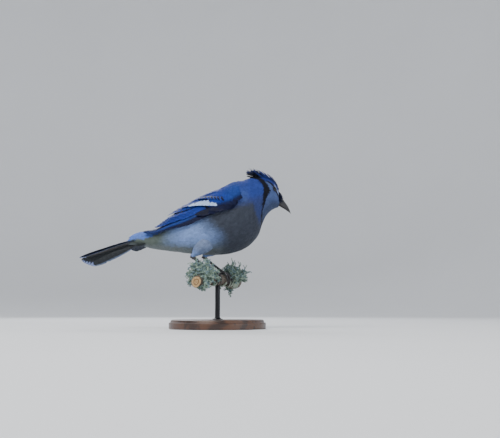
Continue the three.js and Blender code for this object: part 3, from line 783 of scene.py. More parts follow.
@dataclass(frozen=True)
class MarkingsAndPaintedLight:
    """The bird's markings and painted light as colours over the body's stations and angles, shared by skin
    and coat.
    """

    collar_angles: tuple[float, ...] = (0, 24, 34, 50, 77, 95, 110, 118, 131, 137, 152, 166, 180)
    collar_stations: tuple[float, ...] = (
        8.2, 8.45, 8.7, 9.05, 9.5, 9.5, 8.95, 8.55, 7.95, 7.5, 7.1, 6.95, 6.9,
    )
    collar_widths: tuple[float, ...] = (
        0.6, 0.5, 0.42, 0.34, 0.44, 0.66, 0.5, 0.34, 0.27, 0.25, 0.22, 0.22, 0.22,
    )
    seam_stations: tuple[float, ...] = (0, 0.5, 1.2, 2, 5, 5.6, 6.3, 7, 8, 9)  # between back and underparts
    seam_angles: tuple[float, ...] = (96, 84, 62, 64, 70, 76, 82, 88, 98, 104)
    line_stations: tuple[float, ...] = (9.2, 10.0, 10.7, 11.1, 11.6, 12.1, 12.6, 13.0)
    line_angles: tuple[float, ...] = (58, 58, 63, 75, 84, 86, 80, 73)
    line_widths: tuple[float, ...] = (5, 5, 7, 10, 9, 9, 14, 20)

    def tint(self, u: Array, v: Array) -> Array:
        """Colours at stations u and angles v: back over belly and breast, then face, eye line and collar.

        Args:
            u: stations.
            v: angles from the back line in radians.

        Returns:
            Linear colours, with the common shape by three.
        """
        u, v = np.broadcast_arrays(np.asarray(u, float), v)
        turn = np.degrees(np.abs((v + math.pi) % (2 * math.pi) - math.pi))
        back = blend(Hue.RUMP.light, Hue.MANTLE.light, smooth(0.5, 2.5, u))
        back = blend(back, Hue.SHOULDER.light * 1.9, smooth(1.3, 0.1, u))
        # A painted highlight: the shoulder is lightened where light falls on it.
        shoulder = np.exp(-(((u - 5.8) / 0.55) ** 2) - ((turn - 68) / 13) ** 2)
        back = blend(back, Hue.SHOULDER.light, 0.7 * shoulder)
        # Towards the tail the flank turns to the vent's grey, darkened with painted shade.
        flank = blend(Hue.VENT.light, Hue.FLANK.light, smooth(1.0, 2.4, u))
        under = blend(flank, Hue.BELLY.light, smooth(118, 152, turn))
        # The breast turns to its grey wash, deepened with painted shade.
        under = blend(under, Hue.SHADED_BREAST.light, smooth(3.1, 4.4, u + 0.6 * smooth(120, 80, turn)))
        under = blend(under, Hue.MANTLE.light, 0.5 * smooth(6.3, 7.0, u) * smooth(178, 130, turn))
        seam = np.interp(u, self.seam_stations, self.seam_angles)
        soft = np.interp(u, (3, 6), (5, 15))
        colour = blend(back, under, smooth(seam - soft, seam + soft, turn))
        line = np.interp(u, self.line_stations, self.line_angles)
        thick = np.interp(u, self.line_stations, self.line_widths)
        # Below the cheek the face darkens into the throat's painted shadow.
        face = blend(Hue.CHEEK.light, Hue.SHADOWED_THROAT.light, smooth(108, 150, turn))
        head = blend(Hue.CROWN.light, face, smooth(line - 2, line + 3, turn))
        brow = smooth(13, 8, np.abs(turn - (line - thick - 9)))
        brow = brow * smooth(10.9, 11.3, u) * smooth(12.9, 12.5, u)
        head = blend(head, Hue.BROW.light, brow)
        stripe = smooth(1.15, 0.8, np.abs(turn - line) / thick) * smooth(9.4, 10.2, u)
        head = blend(head, Hue.LORE.light, stripe)
        head = blend(head, Hue.LORE.light, smooth(12.35, 12.6, u) * smooth(116, 98, turn))
        collar = np.interp(turn, self.collar_angles, self.collar_stations)
        width = np.interp(turn, self.collar_angles, self.collar_widths)
        colour = blend(colour, head, smooth(-0.1, 0.1, u - collar))
        return blend(colour, Hue.COLLAR.light, smooth(1.12, 0.86, np.abs(u - collar) / width))


MARKINGS_AND_PAINTED_LIGHT = MarkingsAndPaintedLight()


@dataclass(frozen=True)
class CoatSizes:
    """How the small feathers change along the body, by station."""

    at: tuple[float, ...] = (0, 3, 6, 7, 8, 9, 10, 11, 12, 13)
    length: tuple[float, ...] = (14, 13, 12, 9.5, 7.5, 6.2, 5.2, 4.4, 3.4, 2.4)
    width: tuple[float, ...] = (6.4, 6.4, 6.0, 4.4, 3.2, 2.6, 2.2, 1.8, 1.5, 1.1)
    depth: tuple[float, ...] = (1.2, 1.3, 1.2, 1.05, 0.95, 0.85, 0.8, 0.7, 0.6, 0.5)
    spacing: tuple[float, ...] = (2.1, 2.1, 1.95, 1.5, 1.15, 0.95, 0.85, 0.76, 0.68, 0.6)

    def read(self, table: tuple[float, ...], u: Array) -> Array:
        """A table's value at stations u."""
        return np.interp(u, self.at, table)


COAT = CoatSizes()


@dataclass(frozen=True)
class Growth:
    """How a patch of small feathers lies."""

    ruffle: float = 0.08  # how unevenly tips stand, in millimetres
    fray: float = 0.04  # how ragged tips are, as a share of the length
    stray: float = 0.1  # how far the lie wanders, in radians
    cup: float = 0.2  # how far the edges curl down
    proud: float = -0.2  # where the tips end, above the solids' surface
    ramp: float = 0.0  # how far the coat rises to cover the wing's front edge
    keel: float = 0.7  # how far a feather's under side hangs below its crown


SMALL_PLAN = VanePlan(5, 4, False)
LOOSE_PLAN = VanePlan(5, 6, False)  # of looser feathers, whose tips show more barbs


def small_vanes(
    surface: Surface,
    u: Array,
    v: Array,
    length: Array,
    width: Array,
    depth: Array,
    growth: Growth,
    tint: Callable[[Array, Array], Array],
    unwrap: tuple[Array, Array],
    seed: int,
    plan: VanePlan = SMALL_PLAN,
) -> Form:
    """Small feathers with their roots at places of a surface, each a crowned vane that follows the surface.

    A point at share s along and r across lies at length times s behind the root, and at r times the half
    width to the side, turned by the feather's own lie. It rises from the root's depth to the tip's height as
    1 - (1 - s) to the 2.4, less the cup times r squared. A keel hangs below the vane's middle.

    Args:
        surface: what they grow on.
        u: the roots' first parameters, which fall along the lie.
        v: the roots' second parameters.
        length: of each feather.
        width: of each feather.
        depth: of each root below the solids' surface.
        growth: how the patch lies.
        tint: colours by the surface's parameters.
        unwrap: the lowest and highest parameters of the bake map.
        seed: of the random draw.
        plan: how each vane is meshed.

    Returns:
        The feathers as one form.
    """
    draw = np.random.default_rng(seed)
    count = len(u)
    step = 0.02
    here = surface.point(u, v, 0 * u)
    per_u = np.linalg.norm(surface.point(u + step, v, 0 * u) - here, axis=-1) / step
    per_v = np.linalg.norm(surface.point(u, v + step, 0 * u) - here, axis=-1) / step
    s = (np.linspace(0, 1, plan.rows + 1) ** 0.85)[None, :, None]
    r = np.linspace(-1, 1, plan.columns + 1)[None, None, :]
    long = (length * draw.uniform(0.82, 1.15, count))[:, None, None]
    wide = (width * draw.uniform(0.85, 1.15, count))[:, None, None]
    lie = (growth.stray * draw.normal(size=count))[:, None, None]
    widest, tip_length = 0.62, 0.47  # shares of the length: where the tip's oval starts, and its half length
    rounded = np.sqrt(np.clip(1 - (np.clip(s - widest, 0, 1) / tip_length) ** 2, 0, 1))
    half = wide / 2 * (0.45 + 0.55 * smooth(0, 0.5, s)) * rounded
    half = half * (1 + 0.12 * draw.normal(size=(count, plan.rows + 1, 1)))
    ragged = growth.fray * draw.normal(size=(count, 1, plan.columns + 1)) * s**3
    zigzag = growth.fray * 0.9 * np.where(np.arange(plan.columns + 1) % 2, -1.0, 0.4) * s**6
    a = long * (s - 0.14 * r * r * s**3 + ragged + zigzag)
    b = half * r
    du = -(a * np.cos(lie) - b * np.sin(lie)) / per_u[:, None, None]
    dv = (a * np.sin(lie) + b * np.cos(lie)) / per_v[:, None, None]
    tip = growth.proud + growth.ruffle * draw.normal(size=count)[:, None, None]
    root = -depth[:, None, None] + 0.15
    rise = lerp(root, tip, 1 - (1 - s) ** 2.4) - growth.cup * r * r * (wide / 6) ** 0.5
    uu, vv = np.broadcast_arrays(u[:, None, None] + du, v[:, None, None] + dv)
    turn = np.degrees(np.abs(vv))
    wrist = smooth(6.5, 5.5, uu) * smooth(4.8, 5.3, uu) * smooth(76, 62, turn) * smooth(6, 16, turn)
    rise = rise + growth.ramp * wrist
    top = surface.point(uu, vv, rise)
    middle = plan.columns // 2
    keel = surface.point(uu[..., [middle]], vv[..., [middle]], rise[..., [middle]] - growth.keel)
    low_u, high_u = unwrap[0]
    low_v, high_v = unwrap[1]
    tip_colour = tint(u - 0.7 * length / per_u, v)[:, None, None]
    colour = lerp(tip_colour, tint(uu, vv), 0.3)
    shade = 1 + 0.05 * draw.normal(size=(count, 1, 1, 1))
    # Each feather darkens towards its root: the grey down there, and painted shade under the feathers that
    # overlap it.
    colour = np.clip(colour * shade * lerp(0.8, 1.0, smooth(0, 0.55, s))[..., None], 0, 1)
    map_u = in_map((u - low_u) / (high_u - low_u))[:, None, None] + FEATHER_PATCH * (2 * s - 1)
    map_v = in_map((v - low_v) / (high_v - low_v))[:, None, None] + FEATHER_PATCH * r
    bake = np.stack([map_u + 0 * uu, map_v + 0 * uu], -1)
    vane = np.stack([(long * (1 - s) + 0 * uu) / 10, (b + 0 * uu) / 10], -1)
    maps = {BAKE_MAP: np.stack([bake, bake]), VANE_MAP: np.stack([vane, vane])}
    return plan.form(top, keel, {"tint": colour}, maps)


def scattered(
    surface: Surface,
    u_range: tuple[float, float],
    v_range: tuple[float, float],
    spacing: Callable[[Array, Array], Array],
    seed: float,
) -> tuple[Array, Array]:
    """Even places on a surface, as far apart as spacing says.

    An even sequence in a square is mapped so that each patch of the surface gets its share of the places.

    Args:
        surface: where the places lie.
        u_range: the lowest and highest first parameter.
        v_range: the lowest and highest second parameter.
        spacing: the distance between neighbours, by the parameters.
        seed: where the sequence starts, from 0 to 1.

    Returns:
        The places' parameters.
    """
    cells_each_way = 120
    u = np.linspace(*u_range, cells_each_way + 1)
    v = np.linspace(*v_range, cells_each_way + 1)
    uu, vv = np.meshgrid(u, v, indexing="ij")
    points = surface.point(uu, vv, 0 * uu)
    along = np.gradient(points, u, axis=0)
    around = np.gradient(points, v, axis=1)
    share = np.linalg.norm(np.cross(along, around), axis=-1) / spacing(uu, vv) ** 2
    row = share.sum(1)
    count = int(row.sum() * (u[1] - u[0]) * (v[1] - v[0]))
    k = np.arange(count)
    first = (seed + k * EVEN_STEPS[0]) % 1
    second = (seed * 0.5 + k * EVEN_STEPS[1]) % 1
    sums = np.concatenate([[0], np.cumsum((row[1:] + row[:-1]) / 2)])
    at_u = np.interp(first * sums[-1], sums, u)
    cells = np.cumsum((share[:, 1:] + share[:, :-1]) / 2, axis=1)
    cells = np.concatenate([np.zeros((len(u), 1)), cells / cells[:, -1:]], axis=1)
    place = (at_u - u[0]) / (u[1] - u[0])
    i = np.clip(place.astype(int), 0, len(u) - 2)
    f = (place - i)[:, None]
    rows = cells[i] * (1 - f) + cells[i + 1] * f
    j = np.clip((rows < second[:, None]).sum(1) - 1, 0, len(v) - 2)
    low, high = rows[k, j], rows[k, j + 1]
    at_v = v[j] + (v[1] - v[0]) * (second - low) / np.maximum(high - low, 1e-9)
    return at_u, at_v


# Finishes


class Graph:
    """A material's nodes, with short calls for those that the finishes share."""

    def __init__(self, name: str) -> None:
        """Starts a material with a shader and its output.

        Args:
            name: the material's name.
        """
        self.material = bpy.data.materials.new(name)
        self.material.use_nodes = True
        self.tree = self.material.node_tree
        self.tree.nodes.clear()
        self.shader = self.tree.nodes.new("ShaderNodeBsdfPrincipled")
        output = self.tree.nodes.new("ShaderNodeOutputMaterial")
        self.tree.links.new(self.shader.outputs[0], output.inputs["Surface"])

    def node(self, kind: str, inputs: dict | None = None, **settings) -> bpy.types.Node:
        """A new node, with its settings and inputs, each a value or another node's output.

        Args:
            kind: the node type, without its prefix.
            inputs: the sockets' values, by number or name.
            settings: the properties to set.

        Returns:
            The node.
        """
        made = self.tree.nodes.new("ShaderNode" + kind)
        for key, value in settings.items():
            setattr(made, key, value)
        for key, value in (inputs or {}).items():
            self.feed(made.inputs[key], value)
        return made

    def feed(self, socket: bpy.types.NodeSocket, value: object) -> None:
        """Links an output to a socket, or sets the socket's own value.

        Args:
            socket: the input to feed.
            value: an output, or the socket's own value.
        """
        if isinstance(value, bpy.types.NodeSocket):
            self.tree.links.new(value, socket)
        else:
            socket.default_value = value

    def sum(self, operation: str, first: object, second: object = 0.0) -> bpy.types.NodeSocket:
        """The result of one step of arithmetic."""
        return self.node("Math", {0: first, 1: second}, operation=operation).outputs[0]

    def times(self, first: object, second: object) -> bpy.types.NodeSocket:
        """The product of two values."""
        return self.sum("MULTIPLY", first, second)

    def plus(self, first: object, second: object) -> bpy.types.NodeSocket:
        """Two values added up."""
        return self.sum("ADD", first, second)

    def mix(self, share: object, first: object, second: object, how: str = "MIX") -> bpy.types.NodeSocket:
        """Two colours mixed by a share."""
        made = self.node("Mix", {0: share, 6: first, 7: second}, data_type="RGBA", blend_type=how)
        return made.outputs[2]

    def darkened(self, colour: object, level: object) -> bpy.types.NodeSocket:
        """A colour times a level."""
        grey = self.node("CombineColor", {0: level, 1: level, 2: level}).outputs[0]
        return self.mix(1.0, colour, grey, "MULTIPLY")

    def ease(
        self, value: object, low: float, high: float, start: float = 0.0, end: float = 1.0
    ) -> bpy.types.NodeSocket:
        """A value eased from start, where it is low, to end, where it is high."""
        inputs = {0: value, 1: low, 2: high, 3: start, 4: end}
        return self.node("MapRange", inputs, interpolation_type="SMOOTHSTEP").outputs[0]

    def place(self) -> bpy.types.NodeSocket:
        """The piece's own coordinates in metres."""
        return self.node("TexCoord").outputs["Object"]

    def stretched(self, x: float, y: float, z: float) -> bpy.types.NodeSocket:
        """The piece's coordinates, each times a number."""
        return self.node("Mapping", {"Vector": self.place(), "Scale": (x, y, z)}).outputs[0]

    def noise(
        self, scale: float, detail: float = 3.0, rough: float = 0.55, at: object = None
    ) -> bpy.types.NodeSocket:
        """Soft noise from 0 to 1, with scale waves in a metre."""
        inputs = {"Vector": at or self.place(), "Scale": scale, "Detail": detail, "Roughness": rough}
        return self.node("TexNoise", inputs).outputs[0]

    def tinted(self, name: str = "tint") -> bpy.types.NodeSocket:
        """The colour that the mesh carries."""
        return self.node("Attribute", attribute_type="GEOMETRY", attribute_name=name).outputs["Color"]

    def bump(self, height: object, distance: float, strength: float = 1.0) -> None:
        """Roughens the shader's surface by a height from 0 to 1 over a distance in metres."""
        made = self.node("Bump", {"Strength": strength, "Distance": distance, "Height": height})
        self.feed(self.shader.inputs["Normal"], made.outputs[0])

    def dress(self, **values: object) -> None:
        """Feeds the shader's sockets, named with underscores for spaces."""
        for key, value in values.items():
            self.feed(self.shader.inputs[key.replace("_", " ")], value)

    def vane(self) -> tuple[bpy.types.NodeSocket, bpy.types.NodeSocket, bpy.types.NodeSocket]:
        """On a feather: centimetres from the tip, centimetres from the shaft, and a wave along its barbs.

        Returns:
            Three outputs in that order.
        """
        uv = self.node("UVMap", uv_map=VANE_MAP).outputs[0]
        parts = self.node("SeparateXYZ", {0: uv})
        from_tip = parts.outputs[0]
        from_shaft = self.sum("ABSOLUTE", parts.outputs[1])
        along = self.plus(from_tip, self.times(from_shaft, 0.9))
        wobble = self.times(self.noise(420, 2), 0.09)
        wave = self.sum("SINE", self.times(self.plus(along, wobble), 2 * math.pi / 0.055))
        return from_tip, from_shaft, self.sum("MULTIPLY_ADD", wave, 0.5)


@dataclass(frozen=True)
class Plumage:
    """Soft contour feathers and the skin under them: the mesh's tint, streaked along the barbs."""

    name: str
    roughness: float = 0.62
    sheen: float = 0.05
    mottle: float = 0.16

    def material(self) -> bpy.types.Material:
        """Builds the finish.

        Returns:
            The material.
        """
        g = Graph(self.name)
        _, from_shaft, barbs = g.vane()
        streaks = g.ease(barbs, -0.4, 0.6, 1 - self.mottle, 1.0)
        soft = g.ease(g.noise(260, 4), 0.25, 0.75, 1 - self.mottle, 1 + self.mottle * 0.6)
        shaft = g.ease(from_shaft, 0.0, 0.018, 0.86, 1.0)
        level = g.times(g.times(streaks, soft), shaft)
        g.dress(
            Base_Color=g.darkened(g.tinted(), level),
            Roughness=g.ease(g.noise(900, 2), 0.2, 0.8, self.roughness - 0.06, self.roughness + 0.1),
            Specular_IOR_Level=0.14,
            Sheen_Weight=self.sheen,
            Sheen_Roughness=0.45,
            Sheen_Tint=(0.75, 0.82, 1.0, 1.0),
        )
        fine = g.times(g.noise(1500, 2), 0.7)
        g.bump(g.plus(g.times(barbs, 0.6), fine), 0.00025, 0.55)
        return g.material


@dataclass(frozen=True)
class Quill:
    """Flight and tail feathers: tinted webs with dark bars, white tips and a glossy shaft."""

    name: str
    under: bool = False
    period: float = 0.62  # centimetres between bars
    bar: float = 0.3  # of the period that is dark
    roughness: float = 0.46

    def material(self) -> bpy.types.Material:
        """Builds the finish.

        The mesh's marks carry the bars' strength, the white tip in centimetres, and where the bars start.

        Returns:
            The material.
        """
        g = Graph(self.name)
        from_tip, from_shaft, barbs = g.vane()
        marks = g.node("SeparateColor", {0: g.tinted("marks")})
        base = g.tinted("lining" if self.under else "tint")
        bend = g.times(from_shaft, 0.35)
        behind = g.plus(g.sum("SUBTRACT", from_tip, bend), g.times(g.noise(160, 2), 0.12))
        behind = g.sum("SUBTRACT", behind, marks.outputs[1])
        phase = g.sum("FRACT", g.plus(g.sum("DIVIDE", behind, self.period), marks.outputs[2]))
        dark = g.times(g.ease(phase, 0.0, 0.07), g.ease(phase, self.bar + 0.08, self.bar))
        fading = g.ease(from_tip, 7.5, 3.0)
        dark = g.times(g.times(dark, marks.outputs[0]), fading)
        barred = g.mix(dark, base, opaque(3, 4, 13))
        edge = g.sum("SUBTRACT", g.plus(marks.outputs[1], bend), from_tip)
        edge = g.plus(edge, g.times(g.sum("SUBTRACT", g.noise(420, 3), 0.5), 0.12))
        white = g.times(g.ease(edge, 0.0, 0.05), g.ease(marks.outputs[1], 0.02, 0.06))
        pale = Hue.BROW if self.under else Hue.PALE
        colour = g.mix(white, barred, (*pale.light, 1))
        streaks = g.ease(barbs, -0.5, 0.6, 0.84, 1.0)
        soft = g.ease(g.noise(300, 4), 0.25, 0.75, 0.88, 1.08)
        shaft = g.ease(from_shaft, 0.012, 0.03, 0.45, 1.0)
        level = g.times(g.times(streaks, soft), shaft)
        g.dress(
            Base_Color=g.darkened(colour, level),
            Roughness=g.ease(g.noise(700, 2), 0.2, 0.8, self.roughness - 0.06, self.roughness + 0.1),
            Specular_IOR_Level=0.2,
            Sheen_Weight=0.02,
            Sheen_Roughness=0.4,
        )
        g.bump(g.plus(barbs, g.times(g.noise(1200, 2), 0.4)), 0.0002, 0.5)
        return g.material


@dataclass(frozen=True)
class Horn:
    """Bill and claws: dark keratin with growth lines, worn paler and rougher in places."""

    name: str = "dark_horn"

    def material(self) -> bpy.types.Material:
        """Builds the finish.

        Returns:
            The material.
        """
        g = Graph(self.name)
        cloud = g.noise(180, 5, 0.6)
        fine = g.noise(1400, 4, 0.7)
        colour = g.mix(g.ease(cloud, 0.3, 0.75), opaque(17, 16, 19), opaque(42, 40, 44))
        colour = g.mix(g.ease(fine, 0.6, 0.85, 0.0, 0.4), colour, opaque(74, 72, 74))
        g.dress(
            Base_Color=colour,
            Roughness=g.ease(g.noise(420, 4), 0.25, 0.8, 0.26, 0.5),
            Specular_IOR_Level=0.55,
            Coat_Weight=0.15,
            Coat_Roughness=0.25,
        )
        g.bump(g.plus(fine, g.noise(420, 3)), 0.00012, 0.5)
        return g.material


@dataclass(frozen=True)
class Scaled:
    """Legs and feet: dark scaly skin, paler along the scales' edges."""

    name: str = "leg_skin"

    def material(self) -> bpy.types.Material:
        """Builds the finish.

        Returns:
            The material.
        """
        g = Graph(self.name)
        inputs = {"Vector": g.place(), "Scale": 1500.0}
        cells = g.node("TexVoronoi", inputs, feature="DISTANCE_TO_EDGE").outputs[0]
        cloud = g.noise(240, 4)
        colour = g.mix(g.ease(cloud, 0.3, 0.75), opaque(24, 24, 28), opaque(58, 57, 62))
        colour = g.mix(g.ease(cells, 0.0, 0.12, 0.55, 0.0), colour, opaque(96, 94, 96))
        g.dress(
            Base_Color=colour,
            Roughness=g.ease(g.noise(800, 3), 0.25, 0.8, 0.42, 0.62),
            Specular_IOR_Level=0.4,
        )
        g.bump(g.ease(cells, 0.0, 0.2), 0.00015, 0.6)
        return g.material


@dataclass(frozen=True)
class Glass:
    """The glass eye: black pupil, dark brown iris flecked outwards, under a clear gloss."""

    name: str = "glass_eye"

    def material(self) -> bpy.types.Material:
        """Builds the finish. The mesh's tint carries how far round the ball a point lies from the pupil.

        Returns:
            The material.
        """
        g = Graph(self.name)
        ring = g.node("SeparateColor", {0: g.tinted()}).outputs[0]
        ring = g.plus(ring, g.times(g.sum("SUBTRACT", g.noise(900, 3), 0.5), 0.05))
        flecks = g.noise(2600, 4, 0.65)
        iris = g.mix(g.ease(flecks, 0.3, 0.75), opaque(15, 8, 6), opaque(30, 17, 11))
        colour = g.mix(g.ease(ring, 0.33, 0.38), opaque(2, 2, 3), iris)
        colour = g.mix(g.ease(ring, 0.68, 0.8), colour, opaque(9, 7, 7))
        g.dress(
            Base_Color=colour,
            Roughness=g.ease(flecks, 0.2, 0.9, 0.06, 0.14),
            Specular_IOR_Level=0.25,
            Coat_Weight=0.2,
            Coat_Roughness=0.02,
        )
        return g.material


@dataclass(frozen=True)
class LidSkin:
    """The bare ring round the eye: dark, finely beaded skin."""

    name: str = "lid_skin"

    def material(self) -> bpy.types.Material:
        """Builds the finish.

        Returns:
            The material.
        """
        g = Graph(self.name)
        beads = g.node("TexVoronoi", {"Vector": g.place(), "Scale": 3200.0}).outputs[0]
        colour = g.mix(g.ease(g.noise(700, 3), 0.3, 0.7), opaque(10, 10, 15), opaque(24, 24, 33))
        g.dress(Base_Color=colour, Roughness=g.ease(beads, 0.0, 0.6, 0.42, 0.6), Specular_IOR_Level=0.4)
        g.bump(g.ease(beads, 0.6, 0.0), 0.0001, 0.6)
        return g.material


@dataclass(frozen=True)
class Bark:
    """The branch's bark: grey-brown plates with cracks darkened by painted shade, dusted green and grey."""

    name: str = "branch_bark"

    def material(self) -> bpy.types.Material:
        """Builds the finish. The mesh's tint carries the cracks' depth and the bare wood of the cut ends.

        Returns:
            The material.
        """
        g = Graph(self.name)
        carried = g.node("SeparateColor", {0: g.tinted()})
        depth, bare = carried.outputs[0], carried.outputs[1]
        cloud = g.noise(90, 5, 0.6)
        fine = g.noise(900, 5, 0.7)
        colour = g.mix(g.ease(cloud, 0.3, 0.7), opaque(74, 66, 58), opaque(112, 104, 95))
        colour = g.mix(g.ease(fine, 0.45, 0.75, 0.0, 0.6), colour, opaque(142, 136, 126))
        # The furrows are darkened by their depth: a painted shade in the cracks.
        colour = g.mix(g.ease(depth, 0.35, 0.9, 0.0, 0.85), colour, opaque(30, 25, 22))
        dust = g.ease(g.noise(150, 6, 0.7), 0.55, 0.68, 0.0, 0.75)
        colour = g.mix(dust, colour, opaque(126, 140, 128))
        rings = g.noise(1100, 4, 0.5)
        wood = g.mix(g.ease(rings, 0.35, 0.65), opaque(150, 120, 84), opaque(196, 168, 126))
        wood = g.mix(g.ease(carried.outputs[2], 0.45, 0.75), wood, opaque(112, 84, 56))
        g.dress(
            Base_Color=g.mix(bare, colour, wood),
            Roughness=g.ease(fine, 0.2, 0.8, 0.74, 0.95),
            Specular_IOR_Level=0.2,
        )
        g.bump(g.plus(fine, g.noise(2200, 3)), 0.0004, 0.7)
        return g.material


@dataclass(frozen=True)
class Lichen:
    """Lichen: pale grey-green and blue-grey thalli, mealy and paler at the tips."""

    name: str = "branch_lichen"

    def material(self) -> bpy.types.Material:
        """Builds the finish over the mesh's tint.

        Returns:
            The material.
        """
        g = Graph(self.name)
        meal = g.noise(2400, 4, 0.7)
        cloud = g.noise(200, 4)
        colour = g.mix(g.ease(meal, 0.5, 0.8, 0.0, 0.45), g.tinted(), opaque(206, 216, 206))
        colour = g.mix(g.ease(cloud, 0.35, 0.75, 0.0, 0.3), colour, opaque(84, 104, 92))
        g.dress(Base_Color=colour, Roughness=g.ease(meal, 0.2, 0.8, 0.8, 0.97), Specular_IOR_Level=0.15)
        g.bump(g.plus(meal, g.noise(900, 3)), 0.0003, 0.6)
        return g.material


@dataclass(frozen=True)
class StainedWood:
    """The stand's base: dark stained hardwood, waxed, with pores along its grain."""

    name: str = "stained_wood"

    def material(self) -> bpy.types.Material:
        """Builds the finish.

        Returns:
            The material.
        """
        g = Graph(self.name)
        at = g.stretched(1.0, 9.0, 3.0)
        warp = g.noise(14, 4, 0.6, at)
        inputs = {"Vector": at, "Scale": 9.0, "Distortion": 7.0, "Detail": 4.0, "Detail Scale": 2.0}
        grain = g.node("TexWave", inputs).outputs[1]
        pores = g.noise(260, 4, 0.75, g.stretched(0.35, 7.0, 3.0))
        colour = g.mix(g.ease(grain, 0.1, 0.9), opaque(44, 26, 17), opaque(86, 54, 34))
        colour = g.mix(g.ease(warp, 0.35, 0.75, 0.0, 0.6), colour, opaque(62, 36, 22))
        colour = g.mix(g.ease(pores, 0.58, 0.72, 0.0, 0.7), colour, opaque(22, 13, 9))
        g.dress(
            Base_Color=colour,
            Roughness=g.ease(pores, 0.3, 0.75, 0.3, 0.48),
            Coat_Weight=0.35,
            Coat_Roughness=0.22,
        )
        g.bump(g.ease(pores, 0.75, 0.5), 0.00015, 0.5)
        return g.material


@dataclass(frozen=True)
class DarkSteel:
    """The stand's rod: blackened steel, brushed round, with worn bright patches."""

    name: str = "dark_steel"

    def material(self) -> bpy.types.Material:
        """Builds the finish.

        Returns:
            The material.
        """
        g = Graph(self.name)
        brushed = g.noise(500, 4, 0.7, g.stretched(1.0, 1.0, 16.0))
        worn = g.noise(120, 5, 0.65)
        colour = g.mix(g.ease(brushed, 0.3, 0.7), opaque(36, 36, 39), opaque(58, 58, 62))
        colour = g.mix(g.ease(worn, 0.6, 0.75, 0.0, 0.7), colour, opaque(96, 94, 92))
        g.dress(Base_Color=colour, Metallic=0.9, Roughness=g.ease(brushed, 0.25, 0.75, 0.3, 0.46))
        g.bump(brushed, 0.00004, 0.4)
        return g.material


@dataclass(frozen=True)
class StudioPaper:
    """The stage: plain pale paper with the faintest mottle."""

    name: str = "studio_paper"

    def material(self) -> bpy.types.Material:
        """Builds the finish.

        Returns:
            The material.
        """
        g = Graph(self.name)
        colour = g.mix(g.noise(3, 3), opaque(228, 229, 231), opaque(234, 235, 237))
        g.dress(Base_Color=colour, Roughness=0.9, Specular_IOR_Level=0.15)
        g.bump(g.noise(700, 2), 0.0002, 0.1)
        return g.material


# The bird's pieces


@dataclass(frozen=True)
class ThighForm:
    """A feathered thigh: a cone from the belly down to the heel. Its u runs up from the heel, v round."""

    side: int
    heel: tuple[float, float, float]
    ahead: float = 24.0  # of the cone's top, before the heel
    apart: float = 17.0  # of the cone's top, from the bird's middle
    height: float = 47.0
    above_heel: float = 3.2

    def coat_depth(self, u: Array) -> Array:
        """How deep the coat lies over the skin, at shares from the heel to the top."""
        return 1.2 + 0.8 * u
    shares: tuple[float, ...] = (0, 0.3, 0.55, 0.75, 0.92, 1)
    radii: tuple[float, ...] = (12, 12.6, 11, 8, 4.8, 3)

    def ends(self) -> tuple[Array, Array]:
        """The cone's top and its lower end.

        Returns:
            Two points.
        """
        heel = np.array(self.heel)
        top = np.array([self.heel[0] + self.ahead, self.side * self.apart, self.height])
        return top, heel - self.above_heel * unit(heel - top)

    def point(self, u: Array, v: Array, grown: Array) -> Array:
        """Points of the cone: the axis at 1 - u, plus the radius turned by v.

        Args:
            u: shares from the heel to the top.
            v: angles round the axis in radians.
            grown: added to the radius.

        Returns:
            Points, with the common shape by three.
        """
        u, v, grown = np.broadcast_arrays(np.asarray(u, float), v, grown)
        top, end = self.ends()
        axis = unit(end - top)
        right = unit(np.cross([0.0, 1.0, 0.0], axis))
        up = np.cross(axis, right)
        radius = np.maximum(np.interp(1 - u, self.shares, self.radii) + grown, 0.3)
        around = steps(right, np.cos(v)) + steps(up, np.sin(v))
        return top + steps(end - top, 1 - u) + steps(around, radius)


@dataclass(frozen=True)
class Foot:
    """Where one foot stands along the branch, with its leg's heel."""

    name: str
    side: int
    along: float
    heel: tuple[float, float, float]


FEET = (
    Foot("right", -1, -15.0, (-32.0, -16.0, 21.5)),
    Foot("left", 1, 15.0, (-19.0, 14.5, 23.0)),
)


@dataclass
class Skin:
    """The one skin under the coat, from the tail's root to the bill, with both thighs."""

    rows: int = 190
    columns: int = 96
    reach: tuple[float, float] = (-0.02, 12.98)  # the first and last station

    def build(self, finish: bpy.types.Material) -> bpy.types.Object:
        """Builds the skin as one closed surface, and lets it stand for the solids of flesh.

        Args:
            finish: the soft plumage.

        Returns:
            The skin.
        """
        u = run(self.rows, *self.reach)
        v = circle(self.columns)
        uu, vv = np.meshgrid(u, v, indexing="ij")
        rings = BODY.point(uu, vv, -COAT.read(COAT.depth, uu))
        trunk = self.closed(rings, MARKINGS_AND_PAINTED_LIGHT.tint(uu, vv))
        thighs = [self.thigh(foot) for foot in FEET]
        skin = joined([trunk, *thighs]).piece("bird_skin", [finish], "belly_plumage")
        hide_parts("torso", "neck", "head", "thigh_right", "thigh_left")
        return skin

    def closed(self, rings: Array, colours: Array) -> Form:
        """Rings joined in order, with a pole at each end.

        Args:
            rings: as rows by columns by three.
            colours: shaped as rings.

        Returns:
            The closed surface.
        """
        form = tube_of_rings(rings)
        form.colours["tint"] = np.concatenate([colours.reshape(-1, 3), colours[[0, -1]].mean(1)])
        form.maps[VANE_MAP] = np.zeros((2, len(form.vertices), 2)) + 0.5
        return form

    def thigh(self, foot: Foot) -> Form:
        """One thigh's skin, inside its solid by the coat's depth.

        Args:
            foot: the foot below the thigh.

        Returns:
            The closed form.
        """
        form = ThighForm(foot.side, foot.heel)
        uu, vv = np.meshgrid(run(30, 0.02, 1), circle(32), indexing="ij")
        rings = form.point(uu, vv, -form.coat_depth(uu))
        return self.closed(rings, np.broadcast_to(Hue.THIGH.light, rings.shape))


@dataclass(frozen=True)
class Patch:
    """A named patch of the coat, between stations and between angles from the back line."""

    name: str
    slot: str
    stations: tuple[float, float]
    angles: tuple[float, float]
    growth: Growth
    plan: VanePlan = SMALL_PLAN


